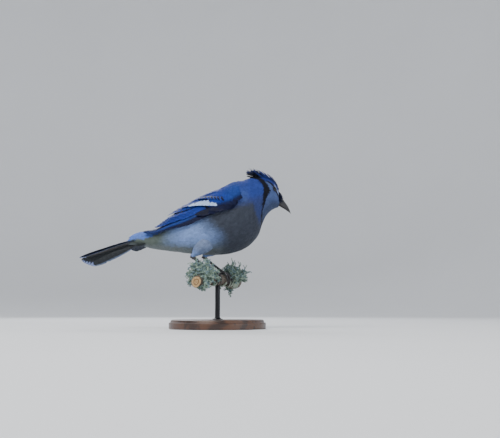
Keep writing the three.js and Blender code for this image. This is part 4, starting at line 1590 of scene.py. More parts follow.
PATCHES = (
    Patch("back_coat", "back_plumage", (-0.15, 7.0), (0, 98), Growth(0.06, 0.02, 0.07, ramp=3.2)),
    Patch("belly_coat", "belly_plumage", (-0.15, 3.9), (92, 180), Growth(0.12, 0.05, 0.12), LOOSE_PLAN),
    Patch("breast_coat", "belly_plumage", (3.7, 7.0), (92, 180), Growth(0.1, 0.045, 0.1), LOOSE_PLAN),
    Patch("neck_coat", "collar_plumage", (6.8, 8.9), (0, 180), Growth(0.06, 0.035, 0.08)),
    Patch("head_coat", "head_plumage", (8.8, 11.3), (0, 180), Growth(0.05, 0.035, 0.09)),
    Patch("face_coat", "head_plumage", (11.2, 12.95), (0, 180), Growth(0.04, 0.035, 0.1, 0.12, -0.1)),
)


@dataclass
class Coat:
    """The small feathers of body, neck, head and thighs."""

    wing_from: float = 12.0  # along the wing, from where the coat under it is left out
    wing_to: float = 58.0
    wing_angles: tuple[float, float] = (16, 64)

    def build(self, finish: bpy.types.Material) -> None:
        """Builds every patch, then the thighs.

        Args:
            finish: the soft plumage.
        """
        for number, patch in enumerate(PATCHES):
            self.patch(patch, number).piece(patch.name, [finish], patch.slot)
        for number, foot in enumerate(FEET):
            self.thigh(foot, 40 + number).piece(f"thigh_coat_{foot.name}", [finish], "belly_plumage")

    def patch(self, patch: Patch, number: int) -> Form:
        """One patch on both sides of the body, parted round the eyes.

        Args:
            patch: its place and growth.
            number: for its random draw.

        Returns:
            The patch's feathers.
        """
        low, high = np.radians(patch.angles)
        places = []
        for side, start in ((-1, 0.31), (1, 0.67)):
            u, v = scattered(BODY, patch.stations, (low, high), self.spacing, start + 0.05 * number)
            places.append((u, side * v))
        u, v = np.concatenate(places, axis=1)
        kept = ~self.hidden(u, v)
        u, v = u[kept], v[kept]
        form = small_vanes(
            BODY,
            u,
            v,
            COAT.read(COAT.length, u),
            COAT.read(COAT.width, u),
            COAT.read(COAT.depth, u),
            patch.growth,
            MARKINGS_AND_PAINTED_LIGHT.tint,
            (patch.stations, (-math.pi, math.pi)),
            100 + number,
            patch.plan,
        )
        for side in (-1, 1):
            form.vertices = parted(form.vertices, side)
        return form

    def spacing(self, u: Array, v: Array) -> Array:
        """Distances between roots at stations u."""
        return COAT.read(COAT.spacing, u) + 0 * v

    def hidden(self, u: Array, v: Array) -> Array:
        """Whether places lie well under the folded wing.

        Args:
            u: stations.
            v: angles from the back line in radians.

        Returns:
            True or false for each place.
        """
        wing = WingForm(1)
        low, high = (float(wing.station(np.array(a))) for a in (self.wing_to, self.wing_from))
        turn = np.degrees(np.abs(v))
        top, bottom = self.wing_angles
        return (u > low) & (u < high) & (turn > top) & (turn < bottom)

    def thigh(self, foot: Foot, seed: int) -> Form:
        """The loose feathers of one thigh, which hang over the heel.

        Args:
            foot: the foot below the thigh.
            seed: of the random draw.

        Returns:
            The thigh's feathers.
        """
        form = ThighForm(foot.side, foot.heel)
        u, v = scattered(form, (0.02, 0.85), (0, 2 * math.pi), lambda a, b: 1.5 + 0.7 * a, 0.2)
        long = 5.5 + 4.5 * u

        def tint(a: Array, b: Array) -> Array:
            """The thigh's colour, dusky towards the heel."""
            return blend(Hue.FLANK.light, Hue.THIGH.light, smooth(0.0, 0.35, a + 0 * b))

        return small_vanes(
            form,
            u,
            v,
            long,
            long * 0.42,
            form.coat_depth(u),
            Growth(0.12, 0.06, 0.12, 0.2, -0.1),
            tint,
            ((0.0, 0.85), (0, 2 * math.pi)),
            seed,
            LOOSE_PLAN,
        )


@dataclass(frozen=True)
class EyeForm:
    """Where an eye sits in the head."""

    side: int
    radius: float = 4.1
    station: float = 11.05
    level: float = 0.2
    inset: float = 0.8
    sunk: float = 0.45  # of the radius
    bulge: float = 0.18  # over the pupil
    opening: float = 3.15  # of the lids
    margin: float = 0.75  # of bare skin beyond the opening

    def angle(self) -> float:
        """The eye's angle from the back line."""
        return self.side * (QUARTER - self.level)

    def facing(self) -> Array:
        """The direction that the eye looks in."""
        return BODY.outward(np.array(self.station), np.array(self.angle()))

    def middle(self) -> Array:
        """The eyeball's middle."""
        surface = BODY.point(np.array(self.station), np.array(self.angle()))
        return surface - self.facing() * (self.inset + self.radius * self.sunk)

    def axes(self) -> tuple[Array, Array]:
        """Two directions square to where the eye looks: back along the head, and up.

        Returns:
            Two directions of length one.
        """
        out, behind = self.facing(), np.array([-1.0, 0.0, 0.45])
        back = unit(behind - out * (behind @ out))
        return back, np.cross(out, back) * self.side


def parted(points: Array, side: int) -> Array:
    """Moves points that would cover an eye out to the edge of its lids.

    Args:
        points: the points to move.
        side: -1 for the right eye and 1 for the left.

    Returns:
        The points, shaped as before.
    """
    eye = EyeForm(side)
    out, middle = eye.facing(), eye.middle()
    rel = points - middle
    depth = rel @ out
    flat = rel - steps(out, depth)
    far = np.linalg.norm(flat, axis=1)
    clear = eye.opening + eye.margin
    near = (far < clear) & (depth > 0.5)
    pushed = middle + steps(out, depth) + steps(flat, clear / np.maximum(far, 0.2))
    return np.where(near[:, None], pushed, points)


@dataclass
class Eyes:
    """The glass eyes and the bare rings round them."""

    rows: int = 40
    sides: int = 56

    def build(self, glass: bpy.types.Material, skin: bpy.types.Material) -> None:
        """Builds both eyes and both pairs of lids.

        Args:
            glass: the balls' finish.
            skin: the lids' finish.
        """
        for name, side in (("right", -1), ("left", 1)):
            ball = self.ball(EyeForm(side)).piece(f"glass_eye_{name}", [glass], "eye")
            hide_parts(f"eye_{name}")
            self.lids(EyeForm(side)).piece(f"eyelids_{name}", [skin], "head_plumage")

    def ball(self, eye: EyeForm) -> Form:
        """A ball with poles before and behind, and a slight bulge over the pupil.

        Args:
            eye: where the eye sits.

        Returns:
            The closed form.
        """
        lean = np.linspace(0, math.pi, self.rows)[1:-1, None]
        turn = circle(self.sides)[None]
        back, up = eye.axes()
        out = eye.facing()
        radius = eye.radius + eye.bulge * np.exp(-((lean / 0.55) ** 2))
        around = steps(back, np.cos(turn)) + steps(up, np.sin(turn))
        rings = eye.middle() + steps(out, radius * np.cos(lean)) + steps(around, radius * np.sin(lean))
        poles = eye.middle() + out * np.array([[eye.radius + eye.bulge], [-eye.radius]])
        form = tube_of_rings(rings, poles)
        share = np.concatenate([np.repeat(np.sin(lean[:, 0] / 2), self.sides), [0.0, 1.0]]) * 1.42
        form.colours["tint"] = np.repeat(share[:, None], 3, axis=1)
        return form

    def lids(self, eye: EyeForm) -> Form:
        """A beaded ring that hugs the ball, a little oval, thicker above.

        Args:
            eye: where the eye sits.

        Returns:
            The closed form.
        """
        rings, sides = 96, 14
        around = circle(rings)
        back, up = eye.axes()
        tall = 0.9 + 0.03 * np.sin(around)
        way = steps(back, np.cos(around)) + steps(up, np.sin(around) * tall)
        turn = circle(sides)
        thick = 0.34 + 0.08 * np.maximum(np.sin(around), 0) + 0.03 * np.sin(around * 30)
        reach = eye.opening + 1.25 * thick[:, None] * np.cos(turn)
        height = math.sqrt(eye.radius**2 - eye.opening**2) + 0.15 + thick[:, None] * np.sin(turn)
        points = eye.middle() + steps(way[:, None], reach) + steps(eye.facing(), height)
        j, last = np.arange(sides), (rings - 1) * sides
        after = (j + 1) % sides
        seam = np.stack([last + j, j, after, last + after], -1)
        quads = np.concatenate([grid_quads(rings, sides, closed=True), seam])
        return Form(points.reshape(-1, 3), quads).turned_out()


HEAD_AHEAD = unit(np.array([math.cos(math.radians(43.5)), 0.1, -math.sin(math.radians(43.5))]))


@dataclass
class Tier:
    """A tier of long feathers on a sheet. Each value is one number, or one for each feather."""

    start: Array  # as feathers by two
    end: Array
    width: Array | float
    lift: Array  # as feathers by two
    outer: Array  # colour of the web that shows
    inner: Array
    tip: Array
    bend: float = 0.0
    tuck: Array | float = 0.0
    root: float = 0.5
    tip_from: float = 0.7
    lining: Array = field(default_factory=lambda: Hue.SLATE.light)
    lining_edge: Array = field(default_factory=lambda: Hue.SLATE.light)
    bars: Array | float = 0.0
    white: Array | float = 0.0  # millimetres
    phase: float = 0.0  # of a period, where the bars start behind the tip
    shaft: float = -0.25  # where the shaft runs across the web
    thick: float = 0.4
    camber: float = 0.1
    outer_side: float = -1.0  # which way across the outer web lies
    edging: tuple[float, float] = (0.35, 0.95)  # across the outer web, where the lining's edge begins
    plan: VanePlan = VanePlan(18, 8, True)

    def form(self, sheet: Sheet, seed: int, cells: tuple[int, int]) -> Form:
        """Builds the tier.

        A point at share s along and r across lies on the line from start to end, bowed sideways by the bend,
        at r times the half width to the side. The half width swells from the root and rounds off at the tip,
        and the vane falls away from its shaft by the camber.

        Args:
            sheet: gives the point at a along, b across and t above.
            seed: of the random draw.
            cells: the tier's first cell in the bake map, and the map's cells in all.

        Returns:
            The tier's feathers.
        """
        draw = np.random.default_rng(seed)
        count = len(self.start)

        def each(value: Array | float) -> Array:
            """One number for each feather, ready for its grid."""
            return np.broadcast_to(np.asarray(value, float), (count,))[:, None, None]

        def hue(value: Array) -> Array:
            """One colour for all feathers or for each, ready for its grid."""
            return value if value.ndim == 1 else value[:, None, None]

        rows = np.linspace(0, 1, self.plan.rows + 1)
        s = (0.5 * rows + 0.5 * np.sin(rows * QUARTER))[None, :, None]
        across = np.linspace(-1, 1, self.plan.columns + 1)
        r = (np.sign(across) * np.abs(across) ** 1.35)[None, None, :]
        way = self.end - self.start
        long = each(np.linalg.norm(way, axis=1))
        da, db = each(way[:, 0]) / long, each(way[:, 1]) / long
        swell = lerp(self.root, 1, smooth(0, 0.5, s))
        widest = 0.72  # share of the length from which the tip rounds off
        rounded = np.sqrt(np.maximum(1 - (np.maximum(s - widest, 0) / (1 - widest)) ** 2, 0))
        width = each(self.width)
        half = width / 2 * np.maximum(swell * rounded, 0.1 * (s > 0.9))
        notch_row = draw.integers(5, self.plan.rows - 2, (count, 2))
        number = np.arange(self.plan.rows + 1)[None, :]
        cut = [0.14 * (number == notch_row[:, k : k + 1]) for k in range(2)]
        nick = np.stack([cut[0], *[0 * cut[0]] * (self.plan.columns - 1), cut[1]], -1)
        ragged = 0.12 * draw.normal(size=(count, self.plan.rows + 1, 1)) * np.abs(r) ** 3 * (s > 0.1)
        side = self.bend * np.sin(math.pi * s) + half * r * (1 - nick) + ragged
        a = each(self.start[:, 0]) + da * long * s - db * side
        b = each(self.start[:, 1]) + db * long * s + da * side
        low = lerp(each(self.lift[:, 0]), each(self.lift[:, 1]), s)
        t = low - each(self.tuck) * (r + 1) * half / width
        from_shaft = (r - self.shaft * (1 - r * r)) * half
        ridge = 0.16 * np.exp(-((from_shaft / 0.45) ** 2)) * (1 - s) ** 0.5
        wave = 0.06 * np.sin(s * 17 + 5 * draw.uniform(size=(count, 1, 1))) * np.abs(r)
        t = t + self.camber * (1 - r * r) * half + ridge + wave
        top = sheet(a, b, t)
        below = sheet(a, b, t - self.thick)
        outwards = self.outer_side * r + 0 * s + 0 * long
        outer_web = smooth(-0.25, 0.25, outwards - self.outer_side * self.shaft)
        colour = blend(hue(self.inner), hue(self.outer), outer_web)
        colour = blend(colour, hue(self.tip), smooth(self.tip_from, 1.02, s + 0 * r + 0 * long))
        shade = 1 + 0.05 * draw.normal(size=(count, 1, 1, 1))
        lining = blend(self.lining, self.lining_edge, smooth(*self.edging, outwards))
        phase = each(self.phase + 0.12 * draw.uniform(size=count))
        marks = np.stack([each(self.bars), each(self.white) / 10, phase], -1)
        cell = cells[0] + np.arange(count)[:, None, None]
        bake = [bake_cell(2 * cell + below_it, 2 * cells[1], s, r) for below_it in (0, 1)]
        vane = np.stack([long * (1 - s) / 10 + 0 * r, from_shaft / 10 + 0 * long], -1)
        return self.plan.form(
            top,
            below,
            {
                "tint": np.clip(colour * shade, 0, 1),
                "lining": np.clip(lining * shade, 0, 1),
                "marks": np.broadcast_to(marks, colour.shape),
            },
            {BAKE_MAP: np.stack(bake), VANE_MAP: np.stack([vane, vane])},
        )


def bake_cell(cell: Array, cells: int, s: Array, r: Array) -> Array:
    """A feather's own upright strip of the bake map.

    Args:
        cell: the strip's number.
        cells: strips in all.
        s: shares along the feather.
        r: places across it, from -1 to 1.

    Returns:
        Map places, as feathers by rows by columns by two.
    """
    columns = math.ceil(math.sqrt(cells * 3))
    rows = math.ceil(cells / columns)
    x = (cell % columns + 0.5 + 0.42 * r) / columns
    y = (cell // columns + 0.06 + 0.88 * s) / rows
    return np.stack(np.broadcast_arrays(x, y), -1)


@dataclass
class Wing:
    """One folded wing: its arm, flight feathers in tiers, coverts and scapulars."""

    name: str
    side: int

    @property
    def sheet(self) -> WingForm:
        """The sheet that the wing is laid on."""
        return WingForm(self.side)

    def build(self, upper: bpy.types.Material, under: bpy.types.Material, soft: bpy.types.Material) -> None:
        """Builds the wing's pieces and lets them stand for its solid.

        Args:
            upper: the feathers' upper finish.
            under: the feathers' under finish.
            soft: the soft plumage.
        """
        tiers = [*self.flight(), *self.coverts()]
        total = sum(len(tier.start) for tier in tiers)
        forms, first = [], 0
        for number, tier in enumerate(tiers):
            forms.append(tier.form(self.sheet.place, 300 + number, (first, total)))
            first += len(tier.start)
        feathers = joined(forms).piece(f"wing_feathers_{self.name}", [upper, under], "wing_feathers")
        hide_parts(f"wing_{self.name}")
        self.arm().piece(f"wing_arm_{self.name}", [soft], "wing_feathers")
        self.lesser_coverts().piece(f"lesser_coverts_{self.name}", [soft], "wing_feathers")

    def flight(self) -> list[Tier]:
        """Primaries, secondaries and tertials, from the lower edge up to the back.

        Returns:
            Three tiers in that order.
        """
        sheet = self.sheet
        i = run(8, 0, 5)
        reach = np.interp(i, range(6), (0.72, 0.88, 0.96, 0.985, 0.97, 0.94))
        primaries = Tier(
            start=pairs(38 + 1.6 * i, 4.2 + 1.4 * i),
            end=pairs(sheet.length * reach, 0.6 + 0.6 * i),
            width=12.0,
            lift=pairs(-1.6, -1.7 + 0.1 * i),
            # The lowest primaries' outer webs are navy: a painted shade along the wing's lower edge.
            outer=blend(Hue.NAVY.light, Hue.WING_DULL.light, smooth(2.2, 4.8, i)),
            inner=Hue.DUSK.light,
            tip=Hue.WING_DULL.light * 0.5,
            bend=-0.8,
            tuck=2.4,
            tip_from=0.55,
            bars=0.1,
            shaft=-0.4,
        )
        j = run(6, 0, 3)
        secondaries = Tier(
            start=pairs(46 + j, 12.5 + 3 * j),
            end=pairs(119 - 7 * j, 8.8 + 3 * j),
            width=13.0,
            lift=pairs(-1.2, 0.3 + 0.2 * j),
            outer=Hue.WING.light,
            inner=Hue.DUSK.light,
            tip=Hue.WING_DULL.light,
            bend=0.6,
            tuck=2.4,
            bars=0.3,
            white=0.6,
            shaft=-0.3,
        )
        k = run(4, 0, 2)
        tip = 98 - 10 * k
        tertials = Tier(
            start=pairs(48 - 3 * k, 24 + 3.6 * k),
            end=pairs(tip, sheet.width(tip) - 6.6 + 0.6 * k),
            width=14.0,
            lift=pairs(-0.8, 1.3 + 0.6 * k),
            outer=Hue.WING.light,
            inner=Hue.WING.light * 0.8,
            tip=Hue.WING_DULL.light,
            bend=0.8,
            tuck=1.0,
            root=0.55,
            bars=0.4,
            shaft=0.0,
        )
        return [primaries, secondaries, tertials]

    def coverts(self) -> list[Tier]:
        """Primary, greater and median coverts and the scapulars, which overlap the flight feathers' roots.

        Returns:
            Five tiers, with the alula after the primary coverts.
        """
        sheet = self.sheet
        plan = VanePlan(12, 6, True)
        i = run(5, 0, 1)
        primary = Tier(
            start=pairs(24 + 4 * i, 5 + 3.4 * i),
            end=pairs(52 + 8 * i, 3.0 + 2.6 * i),
            width=6.0,
            lift=pairs(-0.8, 0.9 + 0.25 * i),
            outer=Hue.NAVY.light,
            inner=Hue.NAVY.light * 0.7,
            tip=Hue.NAVY.light,
            tuck=0.6,
            bars=0.2,
            plan=plan,
        )
        i = run(4, 0, 1)
        alula = Tier(
            start=pairs(8 + 3 * i, 4 + 3 * i),
            end=pairs(32 + 9 * i, 2.6 + 3 * i),
            width=6.0,
            lift=pairs(-0.6, 1.5 + 0.3 * i),
            outer=Hue.NAVY.light,
            inner=Hue.NAVY.light * 0.7,
            tip=Hue.NAVY.light,
            tuck=0.6,
            plan=plan,
        )
        i = run(10, 0, 5)
        tip = 37 + 8.0 * i
        greater = Tier(
            start=pairs(tip - 27, 15 + 4.0 * i),
            end=pairs(tip, 12 + 3.0 * i),
            width=8.4,
            lift=pairs(-0.8, 1.5 + 0.2 * i),
            outer=Hue.WING.light,
            inner=Hue.WING.light * 0.7,
            tip=Hue.WING.light,
            tuck=0.7,
            bars=1.0,
            white=(5.0 + 9.0 * smooth(0, 2.2, i)) * smooth(4.5, 3.4, i),
            plan=plan,
        )
        i = run(8, 0, 3)
        tip = 27 + 9.5 * i
        median = Tier(
            start=pairs(tip - 16, 17 + 6.4 * i),
            end=pairs(tip, 16 + 6.0 * i),
            width=9.0,
            bars=1.0,
            lift=pairs(-0.9, 2.2 + 0.2 * i),
            outer=Hue.WING.light * 0.9,
            inner=Hue.WING.light * 0.8,
            tip=Hue.WING.light,
            tuck=0.7,
            phase=0.62,
            plan=plan,
            shaft=0.0,
        )
        i = run(9, 0, 3)
        tip = 36 + 11 * i
        scapulars = Tier(
            start=pairs(tip - 28, sheet.width(tip - 28) - 10.5 + 1.6 * i),
            end=pairs(tip, sheet.width(tip) - 8.6 + 0.9 * i),
            width=11.0,
            lift=pairs(-1.8 + 0 * i, 2.4),
            outer=lerp(Hue.WING.light, Hue.MANTLE.light, 0.35),
            inner=lerp(Hue.WING.light, Hue.MANTLE.light, 0.35),
            tip=lerp(Hue.WING.light, Hue.MANTLE.light, 0.45),
            tuck=0.5,
            plan=plan,
            shaft=0.0,
        )
        return [primary, alula, greater, median, scapulars]

    def arm(self) -> Form:
        """The mound that the coverts lie on: a domed slab between two like grids, blunt at the wrist.

        Returns:
            The closed form.
        """
        sheet, plan = self.sheet, VanePlan(33, 19, True)
        grid = (plan.rows + 1, plan.columns + 1)
        s = np.linspace(0, 1, grid[0])[:, None]
        r = np.linspace(-1, 1, grid[1])[None]
        a = sheet.arm * s
        blunt = np.sqrt(1 - (1 - np.clip(s * 4, 0, 1)) ** 2)
        middle = lerp(17, sheet.width(a) * 0.52, smooth(0, 0.5, s))
        half = (sheet.width(a) * 0.5 - 2.4) * lerp(0.3, 1, blunt)
        fall = r**4 * (sheet.stand_off(a) - 1.2) * 0.8
        crown = -1.3 * smooth(0.2, 0.7, s) - (1 - blunt) * 2.4 - fall - 0.5
        b = middle + half * r
        top = sheet.place(a + 0 * b, b, crown)
        below = sheet.place(a + 0 * b, b, -sheet.stand_off(a) - 1.5 + 0 * b)
        # The arm is all navy: a painted shade under the wing's front edge.
        tint = np.broadcast_to(Hue.NAVY.light, (1, *grid, 3))
        flat = np.zeros((2, 1, *grid, 2)) + 0.5
        return plan.form(top[None], below[None], {"tint": tint}, {VANE_MAP: flat})

    def lesser_coverts(self) -> Form:
        """The small, scale-like feathers that clothe the wing's front.

        Returns:
            The feathers as one form.
        """
        sheet = self.sheet
        reach = ((-34.0, 2.5), (2.0, 46.0))
        u, v = scattered(sheet, *reach, lambda a, b: 2.2 - 0.02 * a + 0 * b, 0.41)
        kept = v < sheet.width(-u) - 4 - 0.25 * np.abs(u)
        u, v = u[kept], v[kept]

        def tint(a: Array, b: Array) -> Array:
            """Dull blue at the shoulder, brighter behind, and navy along the lower edge: a painted shade."""
            colour = blend(Hue.WING_DULL.light * 1.15, Hue.WING.light, smooth(-8, -26, a + 0 * b))
            # Navy towards the lower edge: painted shade under the wing's front.
            return blend(Hue.NAVY.light, colour, smooth(3.0, 11.0, b + 0.15 * a))

        length = 8.5 - 0.06 * u
        return small_vanes(
            sheet,
            u,
            v,
            length,
            length * 0.55,
            1.6 + 0 * u,
            Growth(0.06, 0.02, 0.06, 0.25, 1.2),
            tint,
            reach,
            60 + self.side,
        )


@dataclass
class Tail:
    """Twelve tail feathers in a closed, arched fan, with the coverts above and below its root."""

    pairs_of_feathers: int = 6

    def build(self, upper: bpy.types.Material, under: bpy.types.Material, soft: bpy.types.Material) -> None:
        """Builds the tail's pieces and lets them stand for its solid.

        Args:
            upper: the feathers' upper finish.
            under: the feathers' under finish.
            soft: the soft plumage.
        """
        sheet = TailForm()
        forms = []
        each_side = self.pairs_of_feathers
        for number, side in enumerate((-1, 1)):

            def sided(a: Array, b: Array, t: Array) -> Array:
                """The sheet's points, with b out to this side."""
                return sheet.place(a, side * b, t)

            cells = (each_side * number, 2 * each_side)
            forms.append(self.feathers(sheet, side).form(sided, 400 + number, cells))
        feathers = joined(forms).piece("tail_feathers_all", [upper, under], "tail_feathers")
        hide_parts("tail")
        self.coverts(sheet).piece("tail_coverts", [soft], "back_plumage")

    def feathers(self, sheet: TailForm, side: int) -> Tier:
        """One side's feathers, from the middle pair, which lies on top, to the outermost.

        Args:
            sheet: what they lie on.
            side: -1 for the right half and 1 for the left.

        Returns:
            That side's tier.
        """
        i = run(self.pairs_of_feathers, 0, 5)
        far = side > 0
        return Tier(
            start=pairs(2 + 0 * i, 0.9 + 0.9 * i),
            end=pairs(sheet.length - 0.32 * i * i, 4.2 + 2.1 * i),
            width=17 - 0.6 * i,
            lift=pairs(2.0 - 0.62 * i - 0.3 * far, 2.2 - 0.86 * i - 0.43 * far),
            outer=Hue.WING.light,
            inner=Hue.WING.light * 0.7,
            tip=Hue.WING.light * 0.8,
            root=0.35,
            # The halves' linings differ: the near half's is nearly black, a painted shade along the tail's
            # middle.
            lining=paint(44, 48, 52) if far else paint(13, 14, 18),
            lining_edge=paint(120, 138, 172) if far else paint(70, 80, 98),
            bars=np.array([0.9, 0.8, 0.6, 0.5, 0.4, 0.3]),
            white=np.array([0.0, 1.5, 2.0, 3.0, 3.5, 4.0] if far else [0.0, 1.0, 1.5, 2.0, 2.0, 2.0]),
            shaft=0.1,
            outer_side=1.0,
            edging=(0.5, 0.9) if far else (0.1, 0.6),
            camber=0.06,
            plan=VanePlan(26, 10, True),
        )

    def coverts(self, sheet: TailForm) -> Form:
        """Soft coverts in four rows above and below the root, over the torso's end.

        Args:
            sheet: what they lie on.

        Returns:
            The coverts as one form.
        """
        forms = []
        rows, widest = 4, 9
        for number, (root, height, back) in enumerate(((2.8, 4.4, 10.0), (-7.4, -9.0, 14.0))):
            above = height > 0
            for row in range(rows):
                b = run(widest - row % 2, -8.5, 8.5)
                climb = 0.38 * row if above else -0.38 * row
                rump = lerp(Hue.SHOULDER.light * 1.9, Hue.RUMP.light, row / (rows - 1))
                # Below the root the coverts are darkened from the vent's grey, with dusky tips: painted shade
                # under the tail.
                web = rump if above else Hue.VENT.light * 0.7
                tier = Tier(
                    start=pairs(-12 - 5 * row + 0 * b, b * 0.95),
                    end=pairs(back + 4 - 5 * row - 0.05 * b * b, b * 0.85),
                    width=5.6,
                    lift=pairs(root + 0 * b, height + climb),
                    outer=web,
                    inner=web,
                    tip=rump if above else Hue.DUSK.light * 1.4,
                    lining=Hue.VENT.light * 0.8,
                    lining_edge=Hue.VENT.light * 0.6,
                    shaft=0.0,
                    thick=0.3,
                    plan=VanePlan(10, 6, True),
                )
                place = rows * number + row
                forms.append(tier.form(sheet.place, 420 + place, (widest * place, 2 * rows * widest)))
        return joined(forms)


@dataclass
class Crest:
    """The crest: rows of narrow feathers from the forehead to the hind crown, lying back over the nape."""

    stations: tuple[float, ...] = (9.0, 9.3, 9.95, 10.7, 11.4, 12.1, 12.5)
    spreads: tuple[float, ...] = (30, 34, 38, 38, 36, 32, 28)
    lengths: tuple[float, ...] = (16, 21, 23, 20, 16, 11, 7)
    rises: tuple[float, ...] = (5, 11, 8.2, 4.2, 2, 1, 0.5)
    gather: float = 0.36  # how far the outer feathers' tips turn to the middle, as a share of their length
    rows: int = 17
    across: int = 9
    reach: tuple[float, float] = (9.0, 12.45)  # the first and last row's station

    def build(self, upper: bpy.types.Material) -> None:
        """Builds the crest as one piece."""
        self.form().piece("crest_feathers", [upper], "head_plumage")

    def form(self) -> Form:
        """The feathers, laid out root by root, with the back of the crown standing most.

        Returns:
            The crest.
        """
        draw = np.random.default_rng(7)
        count = self.rows * self.across
        share = np.tile(run(self.across, -1, 1), self.rows) + 0.1 * draw.normal(size=count)
        share = share + np.repeat(np.arange(self.rows) % 2, self.across) / (self.across - 1)
        share = np.clip(share, -1.1, 1.1)
        u = np.repeat(run(self.rows, *self.reach), self.across) + 0.05 * draw.normal(size=count)
        v = share * np.radians(np.interp(u, self.stations, self.spreads))
        long = np.interp(u, self.stations, self.lengths) * (1 - 0.2 * share**2)
        long = long * draw.uniform(0.82, 1.12, count)
        rise = np.interp(u, self.stations, self.rises) * draw.uniform(0.75, 1.15, count)
        out = BODY.outward(u, v)
        back = unit(BODY.point(u - 0.4, v) - BODY.point(u, v))
        aside = unit(np.cross(out, back))
        root = BODY.point(u, v) - 1.2 * out

        def sheet(a: Array, b: Array, t: Array) -> Array:
            """Points back along the crown by a, across by b and out by t, lifted and drooped with a.

            Args:
                a: distances back along the crown.
                b: distances across it.
                t: heights out of it.

            Returns:
                Points, with the common shape by three.
            """
            gone = np.maximum(a, 0) / long[:, None, None]
            far = t + 1.2 * smooth(0, 5, a) + rise[:, None, None] * gone**1.6
            ways = [steps(way[:, None, None], by) for way, by in ((back, a), (aside, b), (out, far))]
            droop = np.stack([0 * a, -0.02 * a * share[:, None, None], -0.0075 * a * a], -1)
            return root[:, None, None] + sum(ways) + droop

        tone = draw.uniform(0.75, 1.15, (count, 1))
        tier = Tier(
            start=np.zeros((count, 2)),
            end=pairs(long, share * long * self.gather + 0.6 * draw.normal(size=count)),
            width=np.interp(long, (6, 22), (2.0, 3.6)),
            lift=pairs(0 * long, 0.4 + 0.5 * draw.uniform(size=count)),
            outer=Hue.CROWN.light,
            inner=Hue.CROWN.light,
            tip=Hue.CROWN.light,
            root=0.7,
            shaft=0.0,
            thick=0.22,
            plan=VanePlan(8, 4, True),
        )
        form = tier.form(sheet, 9, (0, count))
        colour = MARKINGS_AND_PAINTED_LIGHT.tint(np.clip(u - 0.35, 8.5, 12.2), 0.8 * v)
        form.colours["tint"] = np.repeat(colour * tone, tier.plan.size, axis=0)
        return form


@dataclass(frozen=True)
class BillForm:
    """The bill's own space: a along it, b left, t up, cut at the root along the head's last section."""

    length: float = 21.5
    depth: float = 10.5
    width: float = 8.8
    station: float = 13.0
    slant: float = 0.6  # of the length, over which the root's slant fades out

    def axes(self) -> tuple[Array, Array, Array, Array]:
        """The root's middle, and the bill's ahead, left and up directions.

        Returns:
            A point and three directions of length one.
        """
        middle, _, _, up, _ = BODY.section(np.array(self.station))
        up = unit(up - HEAD_AHEAD * (up @ HEAD_AHEAD))
        return middle, HEAD_AHEAD, unit(np.cross(up, HEAD_AHEAD)), up

    def place(self, a: Array, b: Array, t: Array) -> Array:
        """Points of the bill's space, moved along it near the root so that they end on the head's section.

        Args:
            a: distances along the bill.
            b: distances to the left.
            t: heights.

        Returns:
            Points, with the common shape by three.
        """
        middle, ahead, left, up = self.axes()
        _, _, _, section_up, section_left = BODY.section(np.array(self.station))
        facing = np.cross(section_left, section_up)
        off = t * (up @ facing) + b * (left @ facing)
        back = (-off / (ahead @ facing)) * (1 - smooth(0, self.length * self.slant, a))
        return middle + steps(ahead, a + back) + steps(left, b) + steps(up, t)

    def mouth(self, a: Array) -> Array:
        """The mouth line's height, hooked down at the tip."""
        return 0.4 - 1.5 * np.clip(a / self.length, 0, 1) ** 4


@dataclass
class Bill:
    """The stout, pointed bill in its two halves."""

    rows: int = 48
    sides: int = 30

    def build(self, finish: bpy.types.Material) -> None:
        """Builds both halves.

        Args:
            finish: the horn.
        """
        for name, upper in (("upper", True), ("lower", False)):
            half = self.half(upper).piece(f"bill_{name}_half", [finish], "horn")
            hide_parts(f"bill_{name}")

    def half(self, upper: bool) -> Form:
        """Half a tapered cone, its flat side on the mouth line, ridged above and pitted at the nostrils.

        Args:
            upper: whether it is the upper half.

        Returns:
            The closed form.
        """
        bill = BillForm()
        s = np.linspace(0, 1, self.rows)[:, None] ** 0.9
        length = bill.length * (1.0 if upper else 0.93)
        deep = bill.depth * (0.53 if upper else 0.42)
        along = lerp(-1.2, length, s)
        inside = np.clip(along / length, 0, 1)
        taper = 1 - 0.965 * inside ** (1.5 if upper else 1.3)
        narrow = 1 - 0.965 * inside**1.05
        flats = 8  # vertices between the corners of the flat side
        round_it = np.linspace(0, math.pi, self.sides - flats)[None]
        ridge = 1 + 0.05 * np.exp(-(((round_it - QUARTER) / 0.22) ** 2))
        b = bill.width / 2 * narrow * np.cos(round_it)
        t = deep * taper * np.sin(round_it) ** 0.85 * ridge
        if upper:
            pit = np.exp(-(((along - 4.2) / 1.5) ** 2 + ((np.abs(b) - 2.9) / 0.7) ** 2))
            b = b - np.sign(b) * 0.5 * pit
            t = t - 0.35 * pit
        t = t + 0.02 * np.sin(along * 3.1 + 2 * np.sin(round_it * 3)) * np.sin(round_it)
        flat = np.linspace(-1, 1, flats + 2)[None, 1:-1]
        b = np.concatenate([b, bill.width / 2 * narrow * flat], axis=1)
        t = np.concatenate([t, 0.05 * (1 - flat**2) + 0 * along], axis=1)
        way = 1 if upper else -1
        rings = bill.place(along + 0 * b, b, bill.mouth(along) + way * (0.12 + t))
        return tube_of_rings(rings)


